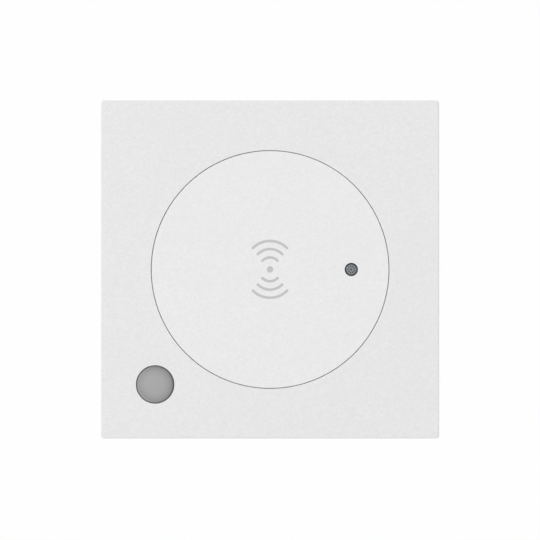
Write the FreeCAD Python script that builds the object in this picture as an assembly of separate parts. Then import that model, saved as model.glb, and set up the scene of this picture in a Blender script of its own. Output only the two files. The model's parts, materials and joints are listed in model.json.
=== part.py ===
import FreeCAD, Part

import math
import os

# A flush presence sensor with a square front, built as the pieces it comes apart into.
# Millimetres. X runs to the right, Z up, and Y into the wall. The plane y = 0 is the
# face of the support frame that the sensor seats on, so the front looks along -Y.

# Square front plate
PLATE_SIZE = 55.0
PLATE_CORNER_RADIUS = 0.5
PLATE_EDGE_RADIUS = 0.3
PLATE_FACE = 1.6
PLATE_WALL = 1.4
PARTING_EDGE_RADIUS = 0.08
PRY_SLOT_WIDTH = 8.0
PRY_SLOT_HEIGHT = 0.9

# Round sensor disc in the plate, which the radar looks through
DISC_MARGIN = 8.21
DISC_GAP = 0.1
DISC_RING_WALL = 1.5
DISC_FLANGE_REACH = 1.0
DISC_FLANGE = 1.0
EAR_RADIUS = 1.9
EAR_REACH = 2.7
STAKE_RADIUS = 0.8
STAKE_CLEARANCE = 0.08
STAKE_HEAD_RADIUS = 1.4
STAKE_HEAD = 0.7
STAKE_ANGLES = (45.0, 165.0, 285.0)

# Status light in the disc
LENS_MARGIN = 6.09
LENS_RADIUS = 0.88
LENS_DOME = 0.16
LENS_SETBACK = 0.1
LENS_FLANGE_RADIUS = 1.3
LENS_FLANGE = 0.5
SLEEVE_WALL = 0.2
SLEEVE_FLANGE_RADIUS = 1.9
SLEEVE_FLANGE = 0.4

# Round function key in the lower left corner
KEY_RADIUS = 3.03
KEY_GAP = 0.09
KEY_CROWN = 0.32
KEY_EDGE_RADIUS = 0.45
KEY_SETBACK = 0.05
KEY_TRAVEL = 0.5
KEY_OVERTRAVEL = 0.3
KEY_FLANGE_GAP = 0.3
KEY_FLANGE_LEDGE = 0.72
KEY_FLANGE = 0.8
KEY_STEM_RADIUS = 1.6
KEY_STEM_CLEARANCE = 0.1
KEY_CATCH_LEDGE = 0.45
KEY_CATCH = 0.9
KEY_CATCH_GAP = 0.1
KEY_SLIT = 0.6
KEY_TIP = 0.4
KEY_GUIDE_CLEARANCE = 0.25
KEY_GUIDE_WALL = 0.8
KEY_GUIDE_FLOOR = 1.0
KEY_GUIDE_SETBACK = 0.4

# Tactile switch behind the key
SWITCH_SIZE = 4.8
SWITCH_WALL_GAP = 0.8
SWITCH_EDGE = 0.3
PLUNGER_RADIUS = 1.25
PLUNGER_CLEARANCE = 0.1
PLUNGER_OUT = 0.9
PLUNGER_IN = 0.4
PLUNGER_FLOOR_GAP = 0.3
LEG_WIDTH = 0.6
LEG_THICKNESS = 0.2
LEG_REACH = 0.6
LEG_INSET = 0.7

# Inner carrier that the plate clips on to
COVER_CLEARANCE = 0.2
CARRIER_FLOOR = 1.0
CARRIER_WALL = 1.4
CARRIER_CORNER_RADIUS = 2.0
CLIP_SPACE = 1.5
RADAR_WINDOW_MARGIN = 0.6
SCREW_TUBE_WALL = 1.05
LIGHT_TUBE_WALL = 0.8

# Spring clips that hold the plate, and the ribs that they catch
CLIP_THICKNESS = 0.3
CLIP_LENGTH = 14.0
CLIP_HEIGHT = 3.2
CLIP_BRIDGE = 1.6
CLIP_TONGUE_WIDTH = 6.0
CLIP_SLIT = 0.3
CLIP_BEND_RADIUS = 0.22
CLIP_PLATE_GAP = 0.1
CLIP_RIB_GAP = 0.4
CLIP_APEX_LEAD = 1.2
CLIP_TIP_LENGTH = 0.9
CLIP_TIP_DROP = 0.3
RIVET_RADIUS = 0.5
RIVET_HEAD_RADIUS = 0.9
RIVET_HEAD = 0.3
RIVET_END_DISTANCE = 1.8
CATCH_RIB_HEIGHT = 0.3
CATCH_RIB_WIDTH = 0.8
CATCH_RIB_LENGTH = 8.0
CATCH_RIB_SETBACK = 1.2

# Main housing, which drops through the window of the support frame
FLANGE = 1.4
FLANGE_GAP = 0.3
FLANGE_LEDGE = 1.8
FLANGE_CORNER_RADIUS = 1.0
BODY_WALL = 1.5
BODY_CORNER_RADIUS = 4.0
BODY_JOINT_CHAMFER = 0.15
COLUMN_WALL = 1.2
COLUMN_MARGIN = 0.5
BOARD_LEDGE = 1.0

# Springs that hold the housing in the square window of the support frame
FRAME_GAP = 0.8
FRAME_DEPTH = 3.5
SPRING_THICKNESS = 0.4
SPRING_WIDTH = 9.0
SPRING_BULGE = 1.2
SPRING_APEX_SETBACK = 1.8
SPRING_FOOT = 6.0
SPRING_BEND_RADIUS = 0.8
SPRING_RECESS = 0.9
SPRING_RECESS_MARGIN = 0.5
SPRING_TIP_SETBACK = 2.3
SPRING_TIP_SINK = 0.1
SPRING_CLEARANCE = 0.05
SPRING_END_GAP = 1.0
SPRING_PEG = 2.0
RAIL_WIDTH = 1.6
RAIL_LIP = 0.6
RAIL_LIP_THICKNESS = 0.35

# Rear cover with the pocket for the bus terminal
COVER_THICKNESS = 1.5
COVER_EDGE_RADIUS = 0.5
COVER_LIP_HEIGHT = 1.4
COVER_LIP_WALL = 1.2
COVER_LIP_CLEARANCE = 0.15
REAR_SPACE = 1.2
POCKET_EDGE_GAP = 3.4
POCKET_CLEARANCE = 0.4
POCKET_DEPTH = 3.4
POCKET_FLOOR = 1.2
POCKET_WALL = 1.2
POCKET_CHAMFER = 0.3
VENT_COUNT = 7
VENT_PITCH = 2.6
VENT_WIDTH = 1.2
VENT_LENGTH = 9.0
VENT_CENTRE_Z = 12.5
LABEL_WIDTH = 26.0
LABEL_HEIGHT = 7.0
LABEL_DEPTH = 0.2
ARROW_WIDTH = 4.0
ARROW_HEIGHT = 6.0
ARROW_RELIEF = 0.3
ARROW_VENT_GAP = 5.0

# Screws
SCREW_RADIUS = 1.0
SCREW_CLEARANCE = 0.15
SCREW_HEAD_RADIUS = 1.9
SCREW_HEAD = 1.2
SCREW_HEAD_EDGE = 0.3
SCREW_SINK = 0.7
SCREW_SINK_CLEARANCE = 0.2
SCREW_BITE = 2.8
SCREW_END_GAP = 0.3
SCREW_POINT = 1.0
SCREW_POINT_RADIUS = 0.35
DRIVE_WIDTH = 0.45
DRIVE_LENGTH = 2.3
DRIVE_DEPTH = 0.7

# Front circuit board and what stands on it
FRONT_BOARD_Y = 0.2
FRONT_BOARD = 1.2
BOARD_SIDE_GAP = 0.3
CHIP_EDGE = 0.1
CONTROLLER_SIZE = 7.0
CONTROLLER_HEIGHT = 1.0
CONTROLLER_X = 8.0
CONTROLLER_GAP = 2.0
CRYSTAL_LENGTH = 3.2
CRYSTAL_WIDTH = 1.5
CRYSTAL_HEIGHT = 0.8
CRYSTAL_GAP = 1.5
LED_WIDTH = 1.6
LED_LENGTH = 0.8
LED_HEIGHT = 0.6
LIGHT_SENSOR_SIZE = 1.6
LIGHT_SENSOR_HEIGHT = 0.55
LIGHT_CHIP_GAP = 0.8
LIGHT_GUIDE_GAP = 0.3
LIGHT_GUIDE_RADIUS = 0.8
LIGHT_GUIDE_CLEARANCE = 0.06
LIGHT_CONE = 2.65
LIGHT_CONE_STEP = 0.35
LIGHT_CONE_FOOT_RADIUS = 1.6
LIGHT_CHIP_CLEARANCE = 0.15
PASSIVE_LENGTH = 1.6
PASSIVE_WIDTH = 0.8
PASSIVE_HEIGHT = 0.5
PASSIVE_GAP = 0.8

# Radar module, half a wavelength behind the disc
RADOME_DISTANCE = 6.25
RADAR_TUBE_GAP = 0.94
RADAR_BOARD = 0.8
RADAR_CORNER_RADIUS = 0.8
PATCH_SIZE = 3.3
PATCH_THICKNESS = 0.05
PATCH_HEADER_GAP = 0.95
PATCH_ROW_GAP = 2.9
FEED_WIDTH = 0.5
FEED_SPLIT = 1.0
RADAR_CHIP_SIZE = 5.0
RADAR_CHIP_HEIGHT = 0.8
RADAR_CHIP_GAP = 0.75
HEADER_EDGE_GAP = 0.4
HEADER_WIDTH = 2.0
HEADER_PIN_COUNT = 4
HEADER_PITCH = 2.0
HEADER_PIN_RADIUS = 0.25
HEADER_PIN_TAIL = 0.4

# Rear circuit board and what stands on it
BOARD_HEADROOM = 1.8
REAR_BOARD = 1.6
REAR_BOARD_GAP = 0.4
CAPACITOR_RADIUS = 3.15
CAPACITOR_HEIGHT = 5.4
CAPACITOR_FOOT = 6.6
CAPACITOR_FOOT_HEIGHT = 0.8
CAPACITOR_EDGE = 0.4
CAPACITOR_SEAM = 0.25
CAPACITOR_SEAM_LIFT = 0.75
CAPACITOR_WALL_GAP = 6.7
CAPACITOR_GAP = 2.9
CAPACITOR_CENTRE_Z = 3.25
CHOKE_SIZE = 6.5
CHOKE_FLANGE = 1.0
CHOKE_HEIGHT = 4.2
CHOKE_COIL_RADIUS = 2.6
CHOKE_CORE_RADIUS = 1.6
CHOKE_WALL_GAP = 6.75
CHOKE_Z = 2.0
BUS_CHIP_SIZE = 6.0
BUS_CHIP_HEIGHT = 0.9
BUS_CHIP_X = 9.0
BUS_CHIP_Z = 6.0
LINK_ROWS = 2
LINK_COLUMNS = 5
LINK_PITCH = 2.0
LINK_PIN_RADIUS = 0.25
LINK_HEADER_HEIGHT = 2.0
LINK_MARGIN = 0.2
LINK_EDGE_GAP = 4.4
LINK_PIN_TAIL = 0.5

# Two-pole bus terminal with four wire entries to each pole
TERMINAL_WIDTH = 5.75
TERMINAL_HEIGHT = 10.0
TERMINAL_DEPTH = 10.0
TERMINAL_EDGE = 0.3
TERMINAL_SEAT_GAP = 0.1
BUS_PIN_RADIUS = 0.5
BUS_PIN_LENGTH = 6.0
BUS_PIN_TAPER = 0.25
BUS_PIN_COLLAR_RADIUS = 0.9
BUS_PIN_COLLAR = 0.5
BUS_PIN_TAIL = 0.6
BUS_PIN_CLEARANCE = 0.1
WIRE_ENTRIES = 4
WIRE_ENTRY_PITCH = 2.3
WIRE_ENTRY_OFFSET = 0.96
WIRE_FUNNEL = 1.8
WIRE_FUNNEL_DEPTH = 0.9
WIRE_HOLE = 1.1
WIRE_HOLE_DEPTH = 5.5
TEST_SLOT_WIDTH = 0.7
TEST_SLOT_LENGTH = 1.4
TEST_SLOT_DEPTH = 2.0
TEST_SLOT_OFFSET = 1.72
CONTACT_WIDTH = 2.6
CONTACT_LENGTH = 2.0
CONTACT_FLOOR = 0.8
CONTACT_END_WALL = 0.8

# Depths in front of the seating plane, counted from the front board forwards
RADAR_BACK_Y = FRONT_BOARD_Y - RADAR_CHIP_HEIGHT - RADAR_CHIP_GAP
RADAR_Y = RADAR_BACK_Y - RADAR_BOARD
FACE_BACK_Y = RADAR_Y - RADOME_DISTANCE
FACE_Y = FACE_BACK_Y - PLATE_FACE
DISC_FLANGE_Y = FACE_BACK_Y + DISC_FLANGE
CARRIER_Y = DISC_FLANGE_Y + STAKE_HEAD + COVER_CLEARANCE
CARRIER_FLOOR_Y = CARRIER_Y + CARRIER_FLOOR
SLEEVE_BACK_Y = FACE_BACK_Y + SLEEVE_FLANGE
LENS_BACK_Y = SLEEVE_BACK_Y + LENS_FLANGE
LIGHT_BACK_Y = FRONT_BOARD_Y - max(LED_HEIGHT, LIGHT_SENSOR_HEIGHT) - LIGHT_CHIP_CLEARANCE
LIGHT_TUBE_Y = LIGHT_BACK_Y - LIGHT_CONE
KEY_FLANGE_Y = FACE_BACK_Y + KEY_FLANGE_GAP
KEY_FLANGE_BACK_Y = KEY_FLANGE_Y + KEY_FLANGE
KEY_SEAT_Y = KEY_FLANGE_BACK_Y + KEY_TRAVEL + KEY_OVERTRAVEL
KEY_SEAT_BACK_Y = KEY_SEAT_Y + KEY_GUIDE_FLOOR
KEY_CATCH_Y = KEY_SEAT_BACK_Y + KEY_CATCH_GAP
KEY_CATCH_BACK_Y = KEY_CATCH_Y + KEY_CATCH
PLUNGER_TIP_Y = KEY_CATCH_BACK_Y + KEY_TIP
SWITCH_TOP_Y = PLUNGER_TIP_Y + PLUNGER_OUT
CLIP_MIDDLE_Y = (CARRIER_Y - FLANGE) / 2
CATCH_RIB_BACK_Y = -FLANGE - CATCH_RIB_SETBACK
CATCH_RIB_Y = CATCH_RIB_BACK_Y - CATCH_RIB_WIDTH

# Depths behind the seating plane, counted from the front board to the rear
FRONT_BOARD_BACK_Y = FRONT_BOARD_Y + FRONT_BOARD
REAR_BOARD_Y = FRONT_BOARD_BACK_Y + CAPACITOR_HEIGHT + BOARD_HEADROOM
REAR_BOARD_BACK_Y = REAR_BOARD_Y + REAR_BOARD
POCKET_FRONT_Y = REAR_BOARD_BACK_Y + REAR_SPACE
POCKET_Y = POCKET_FRONT_Y + POCKET_FLOOR
REAR_Y = POCKET_Y + POCKET_DEPTH
COVER_Y = REAR_Y - COVER_THICKNESS
TERMINAL_Y = POCKET_Y + TERMINAL_SEAT_GAP
TERMINAL_BACK_Y = TERMINAL_Y + TERMINAL_DEPTH
BUS_PIN_END_Y = POCKET_Y + BUS_PIN_LENGTH
SPRING_FOOT_BACK_Y = COVER_Y - SPRING_END_GAP
SPRING_FOOT_Y = SPRING_FOOT_BACK_Y - SPRING_FOOT
FRONT_SCREW_TIP_Y = FRONT_BOARD_BACK_Y + SCREW_BITE
REAR_SCREW_TIP_Y = REAR_BOARD_Y - SCREW_BITE

# Half widths, from the plate inwards
HALF_PLATE = PLATE_SIZE / 2
INNER_PLATE = HALF_PLATE - PLATE_WALL
HALF_CARRIER = INNER_PLATE - CLIP_SPACE
INNER_CARRIER = HALF_CARRIER - CARRIER_WALL
HALF_FLANGE = INNER_PLATE - FLANGE_GAP
HALF_BODY = HALF_FLANGE - FLANGE_LEDGE
INNER_BODY = HALF_BODY - BODY_WALL
INNER_LEDGE = INNER_BODY - BOARD_LEDGE
INNER_CORNER_RADIUS = BODY_CORNER_RADIUS - BODY_WALL
HALF_FRONT_BOARD = INNER_BODY - BOARD_SIDE_GAP
HALF_REAR_BOARD = INNER_BODY - REAR_BOARD_GAP
COLUMN_RADIUS = SCREW_RADIUS + COLUMN_WALL
COLUMN_OFFSET = INNER_BODY - COLUMN_RADIUS - COLUMN_MARGIN
SCREW_HOLE_RADIUS = SCREW_RADIUS + SCREW_CLEARANCE
SCREW_TUBE_RADIUS = SCREW_HOLE_RADIUS + SCREW_TUBE_WALL

# Places across the front
DISC_RADIUS = HALF_PLATE - DISC_MARGIN
OPENING_RADIUS = DISC_RADIUS + DISC_GAP
STAKE_CIRCLE = OPENING_RADIUS + EAR_REACH
LENS_X = DISC_RADIUS - LENS_MARGIN
SLEEVE_RADIUS = LENS_RADIUS + SLEEVE_WALL
LIGHT_HOLE_RADIUS = LIGHT_GUIDE_RADIUS + LIGHT_GUIDE_CLEARANCE
LIGHT_TUBE_RADIUS = LIGHT_HOLE_RADIUS + LIGHT_TUBE_WALL
KEY_HOLE_RADIUS = KEY_RADIUS + KEY_GAP
KEY_FLANGE_RADIUS = KEY_RADIUS + KEY_FLANGE_LEDGE
KEY_GUIDE_RADIUS = KEY_FLANGE_RADIUS + KEY_GUIDE_CLEARANCE
KEY_CATCH_RADIUS = KEY_STEM_RADIUS + KEY_CATCH_LEDGE
KEY_OFFSET = INNER_BODY - SWITCH_WALL_GAP - LEG_REACH - SWITCH_SIZE / 2
KEY_X = -KEY_OFFSET
KEY_Z = -KEY_OFFSET
HALF_RADAR_WINDOW = LENS_X - LIGHT_TUBE_RADIUS - RADAR_TUBE_GAP
HALF_RADAR = HALF_RADAR_WINDOW - RADAR_WINDOW_MARGIN
HEADER_X = HALF_RADAR - HEADER_EDGE_GAP - HEADER_WIDTH / 2
PATCH_X = HEADER_X - HEADER_WIDTH / 2 - PATCH_HEADER_GAP - PATCH_SIZE / 2
PATCH_Z = (PATCH_SIZE + PATCH_ROW_GAP) / 2

# Places on the boards and the rear cover
CONTROLLER_Z = -HALF_RADAR - CONTROLLER_GAP - CONTROLLER_SIZE / 2
CRYSTAL_X = CONTROLLER_X - CONTROLLER_SIZE / 2 - CRYSTAL_GAP - CRYSTAL_LENGTH / 2
CAPACITOR_X = CAPACITOR_FOOT / 2 + CAPACITOR_WALL_GAP - INNER_BODY
CAPACITOR_STEP = (CAPACITOR_FOOT + CAPACITOR_GAP) / 2
CHOKE_X = INNER_BODY - CHOKE_WALL_GAP - CHOKE_SIZE / 2
LINK_WIDTH = LINK_COLUMNS * LINK_PITCH + LINK_MARGIN
LINK_HEIGHT = LINK_ROWS * LINK_PITCH + LINK_MARGIN
LINK_Z = INNER_BODY - LINK_EDGE_GAP - LINK_HEIGHT / 2
BUS_PIN_X = TERMINAL_WIDTH / 2
POCKET_HALF_X = TERMINAL_WIDTH + POCKET_CLEARANCE
POCKET_HALF_Z = TERMINAL_HEIGHT / 2 + POCKET_CLEARANCE
POCKET_Z = POCKET_HALF_Z + POCKET_WALL + POCKET_EDGE_GAP - INNER_BODY
ARROW_X = -(VENT_COUNT - 1) / 2 * VENT_PITCH - VENT_WIDTH / 2 - ARROW_VENT_GAP - ARROW_WIDTH / 2

CUT = 1.0
NEAR = 1e-6
SIDES = {"right": 0.0, "top": -90.0, "left": 180.0, "bottom": 90.0}
CORNERS = ((1, 1), (1, -1), (-1, 1), (-1, -1))
SCREWED_CORNERS = ((1, 1), (1, -1), (-1, 1))
ORIGIN = FreeCAD.Vector(0, 0, 0)
X_AXIS = FreeCAD.Vector(1, 0, 0)
Y_AXIS = FreeCAD.Vector(0, 1, 0)


def box(x0, x1, y0, y1, z0, z1):
    """A block between two corners, given in either order."""
    lows = [min(pair) for pair in ((x0, x1), (y0, y1), (z0, z1))]
    sizes = [abs(x1 - x0), abs(y1 - y0), abs(z1 - z0)]
    return Part.makeBox(*sizes, FreeCAD.Vector(*lows))


def block(width, height, y0, y1, x=0.0, z=0.0):
    """A block centred on (x, z), between two depths."""
    return box(x - width / 2, x + width / 2, y0, y1, z - height / 2, z + height / 2)


def rod(radius, y0, y1, x=0.0, z=0.0):
    """A cylinder along the depth, between two depths."""
    return Part.makeCylinder(radius, abs(y1 - y0), FreeCAD.Vector(x, min(y0, y1), z), Y_AXIS)


def cone(r0, r1, y0, y1, x=0.0, z=0.0):
    """A cone along the depth, with one radius at each depth."""
    if y0 > y1:
        return cone(r1, r0, y1, y0, x, z)
    return Part.makeCone(r0, r1, y1 - y0, FreeCAD.Vector(x, y0, z), Y_AXIS)


def slab(half, corner, y0, y1):
    """A square prism with rounded corners, centred on the axis."""
    prism = box(-half, half, y0, y1, -half, half)
    upright = [edge for edge in prism.Edges if edge.BoundBox.YLength > NEAR]
    return prism.makeFillet(corner, upright)


def vent_slot(x):
    """An upright slot with round ends through the rear cover."""
    reach = (VENT_LENGTH - VENT_WIDTH) / 2
    y0 = COVER_Y - CUT
    y1 = REAR_Y + CUT
    middle = block(VENT_WIDTH, 2 * reach, y0, y1, x, VENT_CENTRE_Z)
    ends = [rod(VENT_WIDTH / 2, y0, y1, x, VENT_CENTRE_Z + s * reach) for s in (-1, 1)]
    return middle.fuse(ends).removeSplitter()


def line(a, b):
    return Part.LineSegment(FreeCAD.Vector(*a, 0), FreeCAD.Vector(*b, 0)).toShape()


def arc(a, middle, b):
    return Part.Arc(*[FreeCAD.Vector(*point, 0) for point in (a, middle, b)]).toShape()


def turned(edges):
    """A solid turned about the depth axis from a closed profile of (radius, depth)."""
    return Part.Face(Part.Wire(edges)).revolve(ORIGIN, Y_AXIS, 360)


def bulge(radius, height, reach):
    """How far a dome of this radius and height has dropped at a distance from its top."""
    sphere = (radius ** 2 + height ** 2) / (2 * height)
    return sphere - math.sqrt(sphere ** 2 - reach ** 2)


def placed(shape, x=0.0, y=0.0, z=0.0):
    moved = shape.copy()
    moved.translate(FreeCAD.Vector(x, y, z))
    return moved


def on_side(shape, angle):
    """The same piece on another of the four sides."""
    moved = shape.copy()
    moved.rotate(ORIGIN, Y_AXIS, angle)
    return moved


def edges_at(shape, y):
    """The edges that lie in the plane at this depth."""
    found = []
    for edge in shape.Edges:
        b = edge.BoundBox
        if abs(b.YMin - y) < NEAR and abs(b.YMax - y) < NEAR:
            found.append(edge)
    return found


def rims_at(shape, y):
    """The full circles that lie in the plane at this depth."""
    return [edge for edge in edges_at(shape, y) if len(edge.Vertexes) == 1]


def bend(before, corner, after, radius):
    """The centre, start angle and turn of the bend that rounds one corner of a strip."""
    a = FreeCAD.Vector(corner[0] - before[0], corner[1] - before[1], 0).normalize()
    b = FreeCAD.Vector(after[0] - corner[0], after[1] - corner[1], 0).normalize()
    turn = math.atan2(a.x * b.y - a.y * b.x, a.dot(b))
    side = math.copysign(1.0, turn)
    back = radius * math.tan(abs(turn) / 2)
    start = (corner[0] - a.x * back, corner[1] - a.y * back)
    centre = (start[0] - a.y * radius * side, start[1] + a.x * radius * side)
    begin = math.atan2(start[1] - centre[1], start[0] - centre[0])
    return centre, begin, turn


def strip_end(end, other, thickness):
    """The two corners of a strip's square end, left and right of the way from end to other."""
    way = FreeCAD.Vector(other[0] - end[0], other[1] - end[1], 0).normalize()
    half = thickness / 2
    left = (end[0] - way.y * half, end[1] + way.x * half)
    right = (end[0] + way.y * half, end[1] - way.x * half)
    return left, right


def bent_strip(points, radius, thickness, width):
    """A strip of sheet bent along points of (x, y), each bend with this middle radius."""
    first_left, first_right = strip_end(points[0], points[1], thickness)
    last_right, last_left = strip_end(points[-1], points[-2], thickness)
    left = [[first_left]]
    right = [[first_right]]
    for before, corner, after in zip(points, points[1:], points[2:]):
        centre, begin, turn = bend(before, corner, after, radius)
        side = math.copysign(1.0, turn)
        for outline, r in ((left, radius - side * thickness / 2), (right, radius + side * thickness / 2)):
            angles = (begin, begin + turn / 2, begin + turn)
            outline.append([(centre[0] + r * math.cos(t), centre[1] + r * math.sin(t)) for t in angles])
    left.append([last_left])
    right.append([last_right])
    edges = [line(first_left, first_right), line(last_left, last_right)]
    for outline in (left, right):
        edges += [arc(*stop) for stop in outline[1:-1]]
        edges += [line(here[-1], there[0]) for here, there in zip(outline, outline[1:])]
    face = Part.Face(Part.Wire(Part.__sortEdges__(edges)))
    return placed(face.extrude(FreeCAD.Vector(0, 0, width)), z=-width / 2)


def corner_places(corners):
    return [(sx * COLUMN_OFFSET, sz * COLUMN_OFFSET) for sx, sz in corners]


def stake_places():
    """Where the plate's stakes pass through the disc's ears."""
    angles = [math.radians(degrees) for degrees in STAKE_ANGLES]
    return [(STAKE_CIRCLE * math.cos(a), STAKE_CIRCLE * math.sin(a)) for a in angles]


def front_plate():
    """The square front: face, side walls, two openings, catch ribs and stakes."""
    shell = slab(HALF_PLATE, PLATE_CORNER_RADIUS, FACE_Y, 0.0)
    shell = shell.makeFillet(PLATE_EDGE_RADIUS, edges_at(shell, FACE_Y))
    shell = shell.cut(slab(INNER_PLATE, PLATE_CORNER_RADIUS, FACE_BACK_Y, CUT))
    shell = shell.cut(rod(OPENING_RADIUS, FACE_Y - CUT, FACE_BACK_Y + CUT))
    shell = shell.cut(rod(KEY_HOLE_RADIUS, FACE_Y - CUT, FACE_BACK_Y + CUT, KEY_X, KEY_Z))
    shell = shell.makeFillet(PARTING_EDGE_RADIUS, rims_at(shell, FACE_Y))
    half = PRY_SLOT_WIDTH / 2
    shell = shell.cut(box(-half, half, -PRY_SLOT_HEIGHT, CUT, -HALF_PLATE - CUT, CUT - INNER_PLATE))
    additions = [on_side(catch_rib(), angle) for angle in SIDES.values()]
    for x, z in stake_places():
        additions.append(rod(STAKE_RADIUS, FACE_BACK_Y, DISC_FLANGE_Y, x, z))
        additions.append(stake_head(x, z))
    return shell.fuse(additions).removeSplitter()


def catch_rib():
    """The ridge inside a side wall that snaps behind a spring clip."""
    half = CATCH_RIB_LENGTH / 2
    inner = INNER_PLATE - CATCH_RIB_HEIGHT
    return box(inner, INNER_PLATE + PLATE_WALL / 2, CATCH_RIB_Y, CATCH_RIB_BACK_Y, -half, half)


def stake_head(x, z):
    """The domed head that is melted over a stake to hold the disc's ear."""
    top = DISC_FLANGE_Y + STAKE_HEAD
    head = rod(STAKE_HEAD_RADIUS, DISC_FLANGE_Y, top, x, z)
    return head.makeFillet(STAKE_HEAD / 2, edges_at(head, top))


def sensor_disc():
    """The round cover over the radar, with a seating flange and three ears behind it."""
    disc = rod(DISC_RADIUS, FACE_Y, FACE_BACK_Y)
    disc = disc.makeFillet(PARTING_EDGE_RADIUS, edges_at(disc, FACE_Y))
    flange = rod(OPENING_RADIUS + DISC_FLANGE_REACH, FACE_BACK_Y, DISC_FLANGE_Y)
    flange = flange.fuse([rod(EAR_RADIUS, FACE_BACK_Y, DISC_FLANGE_Y, x, z) for x, z in stake_places()])
    flange = flange.cut(rod(DISC_RADIUS - DISC_RING_WALL, FACE_BACK_Y - CUT, DISC_FLANGE_Y + CUT))
    disc = disc.fuse(flange).removeSplitter()
    hole = STAKE_RADIUS + STAKE_CLEARANCE
    cuts = [rod(hole, FACE_BACK_Y - CUT, DISC_FLANGE_Y + CUT, x, z) for x, z in stake_places()]
    cuts.append(rod(SLEEVE_RADIUS, FACE_Y - CUT, FACE_BACK_Y + CUT, LENS_X))
    return disc.cut(cuts)


def lens_sleeve():
    """The dark ring that frames the status light."""
    ring = rod(SLEEVE_RADIUS, FACE_Y + PARTING_EDGE_RADIUS, FACE_BACK_Y, LENS_X)
    flange = rod(SLEEVE_FLANGE_RADIUS, FACE_BACK_Y, SLEEVE_BACK_Y, LENS_X)
    bore = rod(LENS_RADIUS, FACE_Y - CUT, SLEEVE_BACK_Y + CUT, LENS_X)
    return ring.fuse(flange).cut(bore).removeSplitter()


def status_lens():
    """The clear domed lens of the status light, with a flange behind the sleeve."""
    top = FACE_Y + LENS_SETBACK
    shoulder = (LENS_RADIUS, top + LENS_DOME)
    reach = LENS_RADIUS / 2
    corners = [
        shoulder,
        (LENS_RADIUS, SLEEVE_BACK_Y),
        (LENS_FLANGE_RADIUS, SLEEVE_BACK_Y),
        (LENS_FLANGE_RADIUS, LENS_BACK_Y),
        (0, LENS_BACK_Y),
        (0, top),
    ]
    edges = [arc((0, top), (reach, top + bulge(LENS_RADIUS, LENS_DOME, reach)), shoulder)]
    edges += [line(a, b) for a, b in zip(corners, corners[1:])]
    return placed(turned(edges), x=LENS_X)


def function_key():
    """The round key: a crowned cap, a flange behind the plate, a stem and a snap catch."""
    top = FACE_Y + KEY_SETBACK
    flat = KEY_RADIUS - KEY_EDGE_RADIUS
    flat_y = top + bulge(KEY_RADIUS, KEY_CROWN, flat)
    side_y = flat_y + KEY_EDGE_RADIUS
    rounding = KEY_EDGE_RADIUS * math.sqrt(0.5)
    corners = [
        (KEY_RADIUS, side_y),
        (KEY_RADIUS, KEY_FLANGE_Y),
        (KEY_FLANGE_RADIUS, KEY_FLANGE_Y),
        (KEY_FLANGE_RADIUS, KEY_FLANGE_BACK_Y),
        (KEY_STEM_RADIUS, KEY_FLANGE_BACK_Y),
        (KEY_STEM_RADIUS, KEY_CATCH_Y),
        (KEY_CATCH_RADIUS, KEY_CATCH_Y),
        (KEY_STEM_RADIUS, KEY_CATCH_BACK_Y),
        (KEY_STEM_RADIUS, PLUNGER_TIP_Y),
        (0, PLUNGER_TIP_Y),
        (0, top),
    ]
    edges = [
        arc((0, top), (flat / 2, top + bulge(KEY_RADIUS, KEY_CROWN, flat / 2)), (flat, flat_y)),
        arc((flat, flat_y), (flat + rounding, side_y - rounding), (KEY_RADIUS, side_y)),
    ]
    edges += [line(a, b) for a, b in zip(corners, corners[1:])]
    key = turned(edges)
    slit = block(2 * KEY_CATCH_RADIUS, KEY_SLIT, KEY_SEAT_Y, KEY_CATCH_BACK_Y)
    return placed(key.cut(slit), x=KEY_X, z=KEY_Z)


def switch_plunger():
    """The switch's own plunger, which the key pushes."""
    plunger = rod(PLUNGER_RADIUS, PLUNGER_TIP_Y, SWITCH_TOP_Y + PLUNGER_IN, KEY_X, KEY_Z)
    return plunger.makeChamfer(PLUNGER_CLEARANCE, edges_at(plunger, PLUNGER_TIP_Y))


def switch_body():
    """The switch's square case with the well that its plunger sinks into."""
    case = block(SWITCH_SIZE, SWITCH_SIZE, SWITCH_TOP_Y, FRONT_BOARD_Y, KEY_X, KEY_Z)
    case = case.makeChamfer(SWITCH_EDGE, edges_at(case, SWITCH_TOP_Y))
    well_floor = SWITCH_TOP_Y + PLUNGER_IN + KEY_TRAVEL + PLUNGER_FLOOR_GAP
    return case.cut(rod(PLUNGER_RADIUS + PLUNGER_CLEARANCE, SWITCH_TOP_Y - CUT, well_floor, KEY_X, KEY_Z))


def switch_legs():
    """Four flat legs that solder the switch to the board."""
    legs = []
    for sx, sz in CORNERS:
        x = KEY_X + sx * (SWITCH_SIZE + LEG_REACH) / 2
        z = KEY_Z + sz * (SWITCH_SIZE / 2 - LEG_INSET)
        legs.append(block(LEG_REACH, LEG_WIDTH, FRONT_BOARD_Y - LEG_THICKNESS, FRONT_BOARD_Y, x, z))
    return Part.makeCompound(legs)


def key_guide():
    """The collar on the carrier for the key, and the well and bore that it has."""
    front = FACE_BACK_Y + KEY_GUIDE_SETBACK
    collar = rod(KEY_GUIDE_RADIUS + KEY_GUIDE_WALL, front, KEY_SEAT_BACK_Y, KEY_X, KEY_Z)
    collar = collar.common(block(2 * HALF_CARRIER, 2 * HALF_CARRIER, front, KEY_SEAT_BACK_Y))
    well = rod(KEY_GUIDE_RADIUS, front - CUT, KEY_SEAT_Y, KEY_X, KEY_Z)
    bore = rod(KEY_STEM_RADIUS + KEY_STEM_CLEARANCE, front - CUT, KEY_SEAT_BACK_Y + CUT, KEY_X, KEY_Z)
    return collar, well.fuse(bore)


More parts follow.
